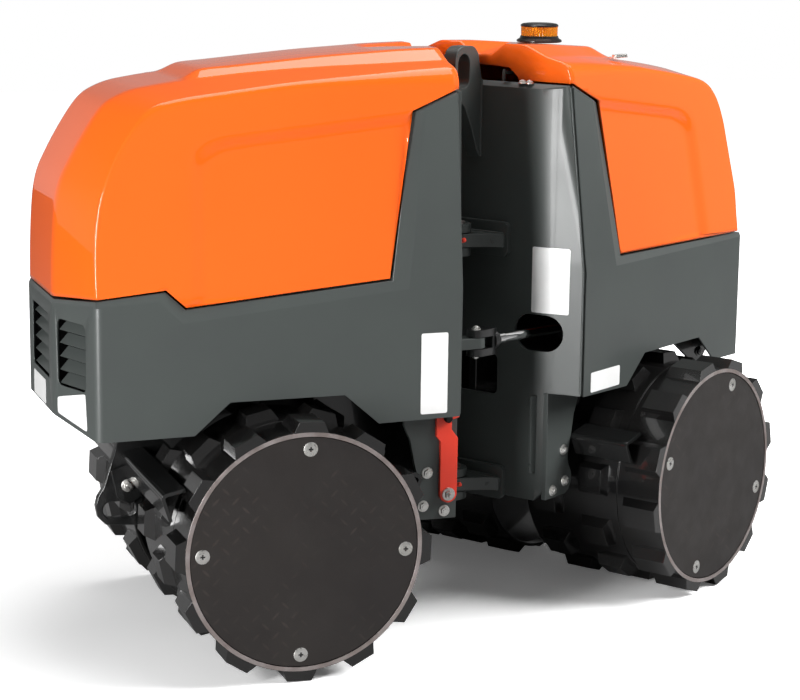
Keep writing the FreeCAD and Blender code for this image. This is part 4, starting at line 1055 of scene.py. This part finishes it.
mounts = [extruded([(x, s * 60), (x + 26, s * 60), (x + 26, s * 150), (x, s * 150)], "z", z, z + 10)
          for x in (-90, 40) for s, z in ((-1, 928), (1, 850))]
covers = merged(housing, moved(filter_can, 0, -136, 985), moved(silencer, 0, 136, 905), *mounts)
add_piece("engine_covers", covers, "front_frame", frame_black, bevel=0.8)

# ---- Hydraulic oil tank
# Welded from folded plate and coated with the bodies; a ribbed black breather cap on its neck, a
# bolted return-filter head beside it, and a bead round the lid's edge.
tank = merged(extruded(rounded_rectangle(-220, 40, -200, 190, 34), "z", DECK_TOP, 960),
              extruded(rounded_rectangle(-212, 32, -192, 182, 28), "z", 960, 966),
              standing([(966, 44), (978, 44)], -90, 90, 40),
              standing([(978, 34), (1004, 34), (1008, 28)], -90, 90, 40),
              standing([(966, 32), (990, 32)], -90, -90, 40),
              *[moved(upright_bolt(), -90 + 38 * math.cos(a), 90 + 38 * math.sin(a), 978)
                for a in (0.8, 2.35, 3.9, 5.5)])
add_piece("oil_tank_shell", tank, "rear_frame", charcoal, hides=["hydraulic_tank"], bevel=3, segments=3)
cap = [(990, 40)] + [(994 + 4 * i, 40 if i % 2 else 37.5) for i in range(6)] + [(1019, 30)]
add_piece("oil_tank_cap", standing(cap, -90, -90, 48), "rear_frame", rubber, sharp=30)

# ---- Hoods
# Glass-fibre mouldings in orange gel coat, hinged at the top of the end wall.  Three facets at
# the outer end run up into the roof; a plateau stands along the middle, ending in a short
# valley, and each flank has a shallow pressed recess.
# polished gel coat: even, strong orange under a clear coat with sharp reflections
gel_coat = mottled("orange_gel_coat", "orange_paint", 3, "F96412", "FC6816", skin=(120, 2, 0.00003, 0.4),
                   spread=(0.2, 0.8), **{"Coat Weight": 1.0, "Coat Roughness": 0.03, "Roughness": 0.45,
                                         "Specular IOR Level": 0.1})

HOOD_END, HOOD_GAP, HOOD_WALL = 394.0, 5.0, 6.0
END_RADIUS = 6.0
# side x, z and radius | facet edge y, x, z | plateau edge y, x, z; in the short rows the two
# edges are level, 130 and 95 out, and share x and z
STATIONS = {
    "front": [
        (-407, 811, 6, -465, 795), (-407, 850, 6, -464, 858), (-406, 900, 6, -461, 925),
        (-401, 958, 6, -456, 985), (-389, 1015, 6, -446, 1032), (-369, 1068, 6, -425, 1077),
        (-344, 1115, 6, -398, 1125), (-313, 1158, 6, -370, 1168), (-287, 1184, 10, -347, 1194),
        (-262, 1198, 11, -318, 1211), (-235, 1205, 11, 130, -284, 1223, 96, -284, 1223),
        (-208, 1210, 11, 131, -240, 1231, 98, -240, 1231),
        (-188, 1213, 11, 133, -206, 1236, 101, -203, 1237),
        (-172, 1215, 11, 135, -184, 1238, 103, -178, 1242),
        (-148, 1218, 11, 137, -158, 1241, 105, -150, 1256),
        (-122, 1221, 11, 139, -132, 1244, 106, -128, 1262),
        (-73, 1227, 11, 142, -73, 1250, 107, -73, 1267), (22, 1238, 12, 148, 22, 1258, 110, 22, 1276),
        (130, 1246, 16, 156, 130, 1265, 112, 130, 1286),
        (240, 1253, 22, 166, 240, 1270, 115, 240, 1293.5),
        (302, 1257, 26, 171, 302, 1273, 117, 302, 1297.5),
        (388, 1261, 30, 176, 388, 1276, 119, 388, 1300.5)],
    "rear": [
        (-305, 823, 6, -364, 817), (-304, 870, 6, -363, 872), (-303, 926, 6, -361, 930),
        (-290, 990, 6, -349, 995), (-278, 1046, 6, -338, 1050), (-266, 1098, 6, -325, 1106),
        (-245, 1146, 6, -303, 1156), (-220, 1177, 10, -270, 1194), (-194, 1192, 11, -240, 1209),
        (-160, 1202, 11, 132, -195, 1220, 96, -195, 1220),
        (-110, 1211, 11, 135, -130, 1231, 98, -130, 1231),
        (-40, 1222, 11, 140, -50, 1242, 102, -50, 1242), (30, 1232, 12, 145, 30, 1251, 106, 32, 1254),
        (58, 1236, 12, 147, 58, 1255, 108, 60, 1259), (85, 1240, 13, 149, 85, 1258, 109, 86, 1274),
        (112, 1243, 14, 151, 112, 1261, 110, 112, 1284),
        (150, 1246, 16, 155, 150, 1264, 112, 150, 1287),
        (240, 1253, 22, 166, 240, 1270, 115, 240, 1293.5),
        (302, 1257, 26, 171, 302, 1273, 117, 302, 1297.5),
        (388, 1261, 30, 176, 388, 1276, 119, 388, 1300.5)]}
FACET_RADIUS, FOOT_RADIUS, PLATEAU_RADIUS = 16.0, 8.0, 9.0
VALLEY_START, VALLEY_HALF, VALLEY_DEPTH = 268.0, 65.0, 27.0
# recess: x and slope of its upright edge, z and slope of its upper edge
RECESS = {"front": (-192, 0.02, 1132, 0.105), "rear": (-147, 0.13, 1134, 0.13)}
RECESS_DEPTH, RECESS_BANDS, RECESS_CORNER = 9.0, (22.0, 14.0), 3.8


def spline(rows, steps):
    """Smooth rows between the given ones (Catmull-Rom)."""
    result = []
    for i in range(len(rows) - 1):
        p0, p1, p2, p3 = (rows[min(max(j, 0), len(rows) - 1)] for j in (i - 1, i, i + 1, i + 2))
        for k in range(steps):
            t = k / steps
            result.append([0.5 * (2 * b + (c - a) * t + (2 * a - 5 * b + 4 * c - d) * t * t
                                  + (3 * b - a - 3 * c + d) * t ** 3)
                           for a, b, c, d in zip(p0, p1, p2, p3)])
    return result + [list(rows[-1])]


def rounded_corner(before, corner, after, reach, steps=5):
    """Points on a smooth bend that starts and ends the given reach from a corner."""
    ends = [corner + (other - corner).normalized() * reach for other in (before, after)]
    return bend(ends[0], corner, ends[1], [i / steps for i in range(steps + 1)])


def half_section(station, ahead):
    """Skin points from the flank to the middle; ahead is the side edge's direction (x, z)."""
    sx, sz, radius, fy, fx, fz, ty, tx, tz = station
    side = Vector((sx, side_y(sz), sz))
    inward = Vector((ahead.y, 0, -ahead.x))
    below = side + inward * radius
    below.y = side_y(below.z)
    facet, plateau = Vector((fx, fy, fz)), Vector((tx, ty, tz))
    fade = max(0.0, (tx - VALLEY_START) / (HOOD_END - VALLEY_START))
    brink = Vector((tx, max(3.0, VALLEY_HALF * fade), tz))
    floor = Vector((tx, brink.y * 0.42, tz - VALLEY_DEPTH * fade))
    points = bend(below, side, side + (facet - side).normalized() * radius, [i / 6 for i in range(7)])
    facet_reach = FACET_RADIUS if tx < -200 or fz - tz > -1 else FOOT_RADIUS
    points += rounded_corner(side, facet, plateau, facet_reach)
    points += rounded_corner(facet, plateau, brink, PLATEAU_RADIUS, 4)
    return points + [brink, floor, Vector((tx, 0, floor.z))]


def recess_depth(module, x, z):
    """Depth of the pressed recess at a point of the flank, its two edges blended at their corner."""
    at_x, lean, at_z, rise = RECESS[module]
    a = (x - at_x - (z - FOLD) * lean) / RECESS_BANDS[0]
    b = (at_z + x * rise - z) / RECESS_BANDS[1]
    mix = min(max(0.5 + 0.5 * (b - a) / RECESS_CORNER, 0), 1)
    depth = b * (1 - mix) + a * mix - RECESS_CORNER * mix * (1 - mix)
    t = min(max((depth + 1) / 2, 0), 1)
    return RECESS_DEPTH * t * t * (3 - 2 * t)


def hood_skin(module):
    """Outer skin of a hood: crown, both flanks and the end face towards the hinge."""
    stations = spline([row if len(row) == 9 else (*row[:3], 130, *row[3:], 95, *row[3:])
                       for row in STATIONS[module]], 5)
    headings = []
    for i in range(len(stations)):
        a, b = stations[max(i - 1, 0)], stations[min(i + 1, len(stations) - 1)]
        headings.append(Vector((b[0] - a[0], b[1] - a[1])).normalized())
    headings[0] = Vector((0, 1))
    rows = [half_section(s, h) for s, h in zip(stations, headings)]
    low_end = Vector((rows[-1][0].x, side_y(1221), 1221.0))
    # the end is rounded over in four more rows
    last = [low_end] + rows[-1]
    normals = []
    for i in range(len(last)):
        a, b = last[max(i - 1, 0)], last[min(i + 1, len(last) - 1)]
        normals.append(Vector((0, b.z - a.z, a.y - b.y)).normalized())
    normals[-1] = UP
    end_rows = []
    for angle in (0, 25, 50, 72, 90):
        a = math.radians(angle)
        shrink = END_RADIUS * (1 - math.cos(a))
        end_rows.append([Vector((HOOD_END - END_RADIUS + END_RADIUS * math.sin(a), p.y, p.z)) - n * shrink
                         for p, n in zip(last, normals)])
    form = bmesh.new()
    for grid in (rows, end_rows):
        for sign in (1, -1):
            laid = [[form.verts.new((p.x, sign * p.y, p.z)) for p in row] for row in grid]
            for a, b in zip(laid, laid[1:]):
                for i in range(len(a) - 1):
                    form.faces.new((a[i], a[i + 1], b[i + 1], b[i]))
    # flanks
    top = [(row[0].x, row[0].z) for row in rows]
    rim = [(x, z + HOOD_GAP) for x, z, _ in SHELLS[module]["rim"][::-1]]
    outline = top + [(388, 1221), (286, 1177), (228, 826)] + rim
    inner_grid = [(x, z) for x in range(-400, 388, 9) for z in range(795, 1250, 9)]
    inner_grid = [p for p in inner_grid if min((Vector(p) - Vector(q)).length for q in outline) > 5]
    for sign in (1, -1):
        flank = sheet(outline, [], lambda x, z: (x, sign * (side_y(z) - recess_depth(module, x, z)), z),
                      inner_grid)
        form = merged(form, flank)
    # end face, with the opening over the wall
    rim = [(p.y, p.z) for p in end_rows[-1]]
    across = [(-y, z) for y, z in rim] + rim[-2::-1]
    opening = [(104, 1221), (101, 1228), (80, 1246), (74, 1248), (40, 1250.5)]
    outline = across + opening + [(0, 1251.5)] + [(-y, z) for y, z in reversed(opening)]
    form = merged(form, sheet(outline, [], lambda y, z: (HOOD_END, y, z)))
    bmesh.ops.remove_doubles(form, verts=form.verts, dist=0.05)
    bmesh.ops.dissolve_degenerate(form, dist=0.02, edges=form.edges)
    return outwards(form, UP)


for module in MODULES:
    hood = add_piece(f"{module}_hood_moulding", hood_skin(module), f"{module}_hood", gel_coat,
                     hides=[f"{module}_hood"], sharp=50)
    wall = hood.modifiers.new("moulding", "SOLIDIFY")
    wall.thickness, wall.offset, wall.use_even_offset = HOOD_WALL * MM, -1, False

# ---- Hood hinges
# A cranked leg on each side is welded to the wall's top edge, passes under the end of the hood
# and up to a zinc pin, on which the hood's bonded knuckle turns.  Beside it is a pair of bolts.
HINGE_X, HINGE_Z = 380.0, 1280.0
CRANK_RADIUS, CRANK_WIDTH = 45.5, 7.0


def band(points, width):
    """Outline of a flat strip of constant width along a path in a plane."""
    path = [Vector(p) for p in points]
    left, right = [], []
    for i, p in enumerate(path):
        ahead = (path[min(i + 1, len(path) - 1)] - path[max(i - 1, 0)]).normalized()
        out = Vector((-ahead.y, ahead.x)) * width / 2
        left.append(tuple(p + out))
        right.append(tuple(p - out))
    return left + right[::-1]


for module in MODULES:
    body = module + "_frame"
    crank = ([(HINGE_X - 3, HINGE_Z - 1), (HINGE_X - 32, HINGE_Z - 14)]
             + arc(HINGE_X, HINGE_Z, CRANK_RADIUS, 207, 302, 12) + [(405, 1234), (406, 1217)])
    strip = extruded(band(crank, CRANK_WIDTH), "y", 68, 74)
    hub = turned([(68, 9), (74, 9)], 28)
    legs = both(merged(strip, moved(hub, HINGE_X, 0, HINGE_Z)))
    add_piece(f"{module}_hinge_legs", legs, body, charcoal, hides=[f"{module}_hood_hinge_brackets"],
              bevel=0.8)
    pin = turned([(62, 8), (66, 8), (66, 6), (90, 6)], 24)
    pair = [moved(upright_bolt(), 405, y, WALL_TOP) for y in (122, 141)]
    pins = both(merged(moved(pin, HINGE_X, 0, HINGE_Z), *pair))
    add_piece(f"{module}_hinge_pins", pins, body, zinc, bevel=0.4)
    knuckle = turned([(76, 6.3), (76, 10), (88, 10), (88, 6.3)], 24, False)
    riser = extruded([(372, 1288), (384, 1288), (384, 1293), (372, 1293)], "y", 76, 88)
    add_piece(f"{module}_hinge_knuckles", both(merged(moved(knuckle, HINGE_X, 0, HINGE_Z), riser)),
              f"{module}_hood", charcoal)

# ---- Rear hood catch and beacon
# A small zinc plated toggle catch on the roof, and an amber beacon on the middle line: a ribbed
# polycarbonate lens over a silvered reflector, on a black plastic foot.
CATCH_AT = (108, 186, 1262)
catch = merged(extruded(rounded_rectangle(-27, 27, -11, 11, 4), "z", 0, 2.5),
               extruded(rounded_rectangle(-14, 18, -7, 7, 3), "z", 2, 7),
               moved(turned([(-10, 4), (10, 4)], 20), -20, 0, 4))
add_piece("rear_hood_catch", moved(catch, *CATCH_AT), "rear_hood", zinc, bevel=0.7)

# tinted polycarbonate: glassy, and it glows where light comes through
amber = mottled("amber_polycarbonate", "amber", 30, "E8900C", "FFA51E", **{
    "Roughness": 0.08, "IOR": 1.58, "Transmission Weight": 0.45, "Coat Weight": 0.4})
# smooth moulded ABS: near black with a soft sheen
moulded_black = mottled("moulded_black_plastic", "black_plastic", 40, "121212", "1A1A1A",
                        **{"Roughness": 0.32, "Coat Weight": 0.2})
# silvered plastic: bright behind the lens
silvered = brushed("silvered_reflector", "machined_steel", "F4F1EA", "E4DFD4", 0.2, 300)

BEACON_X = 161.0
base_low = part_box("beacon_base")[0].z / MM
lens_low, lens_high = base_low + 13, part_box("beacon_lens")[1].z / MM
foot = standing([(base_low - 1, 50), (base_low, 53), (base_low + 4, 53), (base_low + 6, 50),
                 (base_low + 8, 46.5), (lens_low - 2, 45), (lens_low + 1, 44)], BEACON_X, 0)
add_piece("beacon_foot", foot, "rear_hood", moulded_black, hides=["beacon_base"], bevel=0.8, sharp=25)
lens = standing([(lens_low + 1, 42), (lens_high - 8, 42.5)], BEACON_X, 0, 144)
for vert in lens.verts:
    out = Vector((vert.co.x - BEACON_X, vert.co.y, 0))
    if out.length > 10:
        ripple = 0.7 * math.cos(48 * math.atan2(out.y, out.x))
        vert.co += out.normalized() * ripple
add_piece("beacon_amber_lens", lens, "rear_hood", amber, hides=["beacon_lens"], sharp=40)
lamp = standing([(lens_low + 2, 22), (lens_high - 10, 22)], BEACON_X, 0, 12)
add_piece("beacon_reflector", lamp, "rear_hood", silvered)
cap = standing([(lens_high - 8.5, 43.5), (lens_high - 7, 44.5), (lens_high - 4, 44),
                (lens_high - 1.5, 40), (lens_high, 30)], BEACON_X, 0)
add_piece("beacon_cap", cap, "rear_hood", moulded_black, sharp=40)

# ---- Blank sign plates and reflectors
# Plain white vinyl signs, left unprinted and stuck to both bodies, and a white reflector sheet on
# each corner facet of the front one.
# vinyl film: clean white with a faint gloss
white_vinyl = mottled("white_vinyl_film", None, 20, "F4F4F3", "FAFAF9",
                      **{"Roughness": 0.3, "Coat Weight": 0.3})
SIGN_THICKNESS, SIGN_CORNER = 0.8, 4.0


def divided(outline, longest=6.0):
    """The same outline with its long runs cut into short ones."""
    cut = []
    for a, b in zip(outline, outline[1:] + outline[:1]):
        a, b = Vector(a), Vector(b)
        count = max(1, math.ceil((b - a).length / longest))
        cut += [tuple(a.lerp(b, i / count)) for i in range(count)]
    return cut


def side_sign(near, x0, x1, z0, z1):
    """Plate stuck to the upright part of a side."""
    faces = sorted((near * (BODY_HALF - 0.2), near * (BODY_HALF + SIGN_THICKNESS)))
    return extruded(rounded_rectangle(x0, x1, z0, z1, SIGN_CORNER), "y", *faces)


def end_sign(near, y0, y1, z0, z1):
    """Plate stuck to the bend of the end wall."""
    across = sorted((near * y0, near * y1))
    corners = divided(rounded_rectangle(*across, z0, z1, SIGN_CORNER))
    grid = [(y, z) for y in range(round(across[0]) + 5, round(across[1]), 6)
            for z in range(z0 + 8, z1 - 4, 12)]
    face = sheet(corners, [], lambda y, z: (wall_x(y) + SIGN_THICKNESS, y, z), grid)
    return slab(face, (-SIGN_THICKNESS - 0.4, 0, 0))


front_sign = side_sign(NEAR["front"], 297, 358, 528, 705)
add_piece("front_side_sign", front_sign, "front_frame", white_vinyl)
rear_sign = side_sign(NEAR["rear"], 237, 359, 523, 569)
add_piece("rear_side_sign", rear_sign, "rear_frame", white_vinyl)
wall_sign = end_sign(NEAR["rear"], 167, 256, 702, 852)
add_piece("rear_wall_sign", wall_sign, "rear_frame", white_vinyl)
nose_at = SHELLS["front"]["corner"] - NOSE_DEPTH
nose_sign = extruded(rounded_rectangle(-50, 78, 547, 600, SIGN_CORNER), "x", nose_at - SIGN_THICKNESS,
                     nose_at + 0.2)
add_piece("front_nose_sign", nose_sign, "front_frame", white_vinyl)

# retroreflective sheet: fine cells under a clear film, a little greyer than the vinyl
reflex, tree, shader, where = new_finish("white_reflex_sheet", None,
                                         **{"Roughness": 0.18, "Coat Weight": 0.6})
cells = add_node(tree, "ShaderNodeTexVoronoi", {"Vector": where, "Scale": 350})
shade = add_node(tree, "ShaderNodeMapRange", {"Value": cells.outputs["Distance"], "To Min": 0.9,
                                              "To Max": 0.97})
tree.links.new(shade.outputs[0], shader.inputs["Base Color"])
REFLECTOR = [(151, 584), (254, 608), (259, 529), (151, 550)]      # across the machine, height
slant = math.cos(FLANK_SLOPE)
corners = [Vector(((y - FACET_HALF) / slant, z)) for y, z in REFLECTOR]
outline = []
for i, corner in enumerate(corners):
    outline += [tuple(p) for p in rounded_corner(corners[i - 1], corner, corners[(i + 1) % 4], 7, 5)]
patch = placed(extruded(outline, "x", -SIGN_THICKNESS, 0.2), flank_to_body(SHELLS["front"]["corner"]))
add_piece("front_corner_reflectors", both(patch), "front_frame", reflex)

# ---- Studio
# Pale floor and background, soft boxes overhead, at the rear and beside the nose, and a long
# lens from the near front corner.
floor_paint, tree, shader, where = new_finish("pale_studio_floor", None, Roughness=0.9)
rays = add_node(tree, "ShaderNodeLightPath").outputs
tone = add_node(tree, "ShaderNodeMix", {"Factor": rays["Is Camera Ray"], "A": colour("8E8E8E"),
                                        "B": (1.4, 1.4, 1.4, 1)}, data_type="RGBA")
tree.links.new(tone.outputs[2], shader.inputs["Base Color"])
away = add_node(tree, "ShaderNodeVectorMath", {0: where}, operation="LENGTH")
cove = add_node(tree, "ShaderNodeMapRange", {"Value": away.outputs["Value"], "From Min": 0.8,
                                             "From Max": 2.1, "To Min": 0.08, "To Max": 1.0},
                interpolation_type="SMOOTHSTEP")
tree.links.new(maths(tree, "MULTIPLY", cove.outputs[0], rays["Is Camera Ray"]),
               shader.inputs["Emission Strength"])
shader.inputs["Emission Color"].default_value = (1, 1, 1, 1)
sheet_form = bmesh.new()
bmesh.ops.create_grid(sheet_form, x_segments=1, y_segments=1, size=14)
floor = object_of("studio_floor", sheet_form)
floor.location.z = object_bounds()[0].z - 0.0005
floor.data.materials.append(floor_paint)

world = bpy.data.worlds.new("white_studio")
scene.world = world
world.use_nodes = True
tree = world.node_tree
tree.nodes.clear()
rays = add_node(tree, "ShaderNodeLightPath").outputs
way = add_node(tree, "ShaderNodeTexCoord").outputs["Generated"]
height = add_node(tree, "ShaderNodeSeparateXYZ", {"Vector": way}).outputs["Z"]
wall_and_ceiling = add_node(tree, "ShaderNodeMapRange", {
    "Value": height, "From Min": 0.05, "From Max": 0.45, "To Min": 0.38, "To Max": 0.1}).outputs[0]
mirror_ray = maths(tree, "MAXIMUM", rays["Is Glossy Ray"], rays["Is Transmission Ray"])
level = 0.13
for ray, seen in ((mirror_ray, wall_and_ceiling), (rays["Is Camera Ray"], 1.0)):
    level = add_node(tree, "ShaderNodeMapRange",
                     {"Value": ray, "To Min": level, "To Max": seen}).outputs[0]
sky = add_node(tree, "ShaderNodeBackground", {"Color": (1, 1, 1, 1), "Strength": level})
add_node(tree, "ShaderNodeOutputWorld", {"Surface": sky.outputs[0]})


def softbox(name, place, aim, size, power):
    """Rectangular lamp aimed at a point."""
    lamp = bpy.data.objects.new(name, bpy.data.lights.new(name, "AREA"))
    lamp.data.shape = "RECTANGLE"
    lamp.data.size, lamp.data.size_y = size
    lamp.data.energy = power
    lamp.location = place
    lamp.rotation_euler = (Vector(aim) - Vector(place)).to_track_quat("-Z", "Y").to_euler()
    scene.collection.objects.link(lamp)
    return lamp


softbox("top_softbox", (0.4, 0.1, 4.2), (0.1, 0, 0.6), (3.6, 3.0), 90)
# the key's own reflection in the gel coat is dimmer than the light it throws
for name, power, in_mirrors in (("key_softbox", 420, False), ("key_reflection", 140, True)):
    key = softbox(name, (4.45, -1.9, 3.6), (0.2, 0, 0.6), (3.0, 2.6), power)
    key.visible_glossy, key.visible_diffuse = in_mirrors, not in_mirrors
softbox("end_softbox", (-3.72, -2.76, 1.25), (0, 0, 0.7), (0.75, 2.4), 212)

CAMERA_AT = Vector((-1.7820, -4.8935, 1.609))
HEADING = Vector((0.3374, 0.9414, 0)).normalized()
PITCH, ROLL = math.radians(11.32), math.radians(0.72)
camera = bpy.data.objects.new("camera", bpy.data.cameras.new("camera"))
ahead = HEADING * math.cos(PITCH) - UP * math.sin(PITCH)
right = HEADING.cross(UP)
upward = right.cross(ahead)
right, upward = (right * math.cos(ROLL) + upward * math.sin(ROLL),
                 upward * math.cos(ROLL) - right * math.sin(ROLL))
camera.matrix_world = Matrix.Translation(CAMERA_AT) @ axes(right, upward, -ahead)
camera.data.lens = 101.04
camera.data.sensor_width = 36
camera.data.shift_x = 0.0004
camera.data.shift_y = 0.0023
scene.collection.objects.link(camera)
scene.camera = camera

bpy.context.view_layer.update()
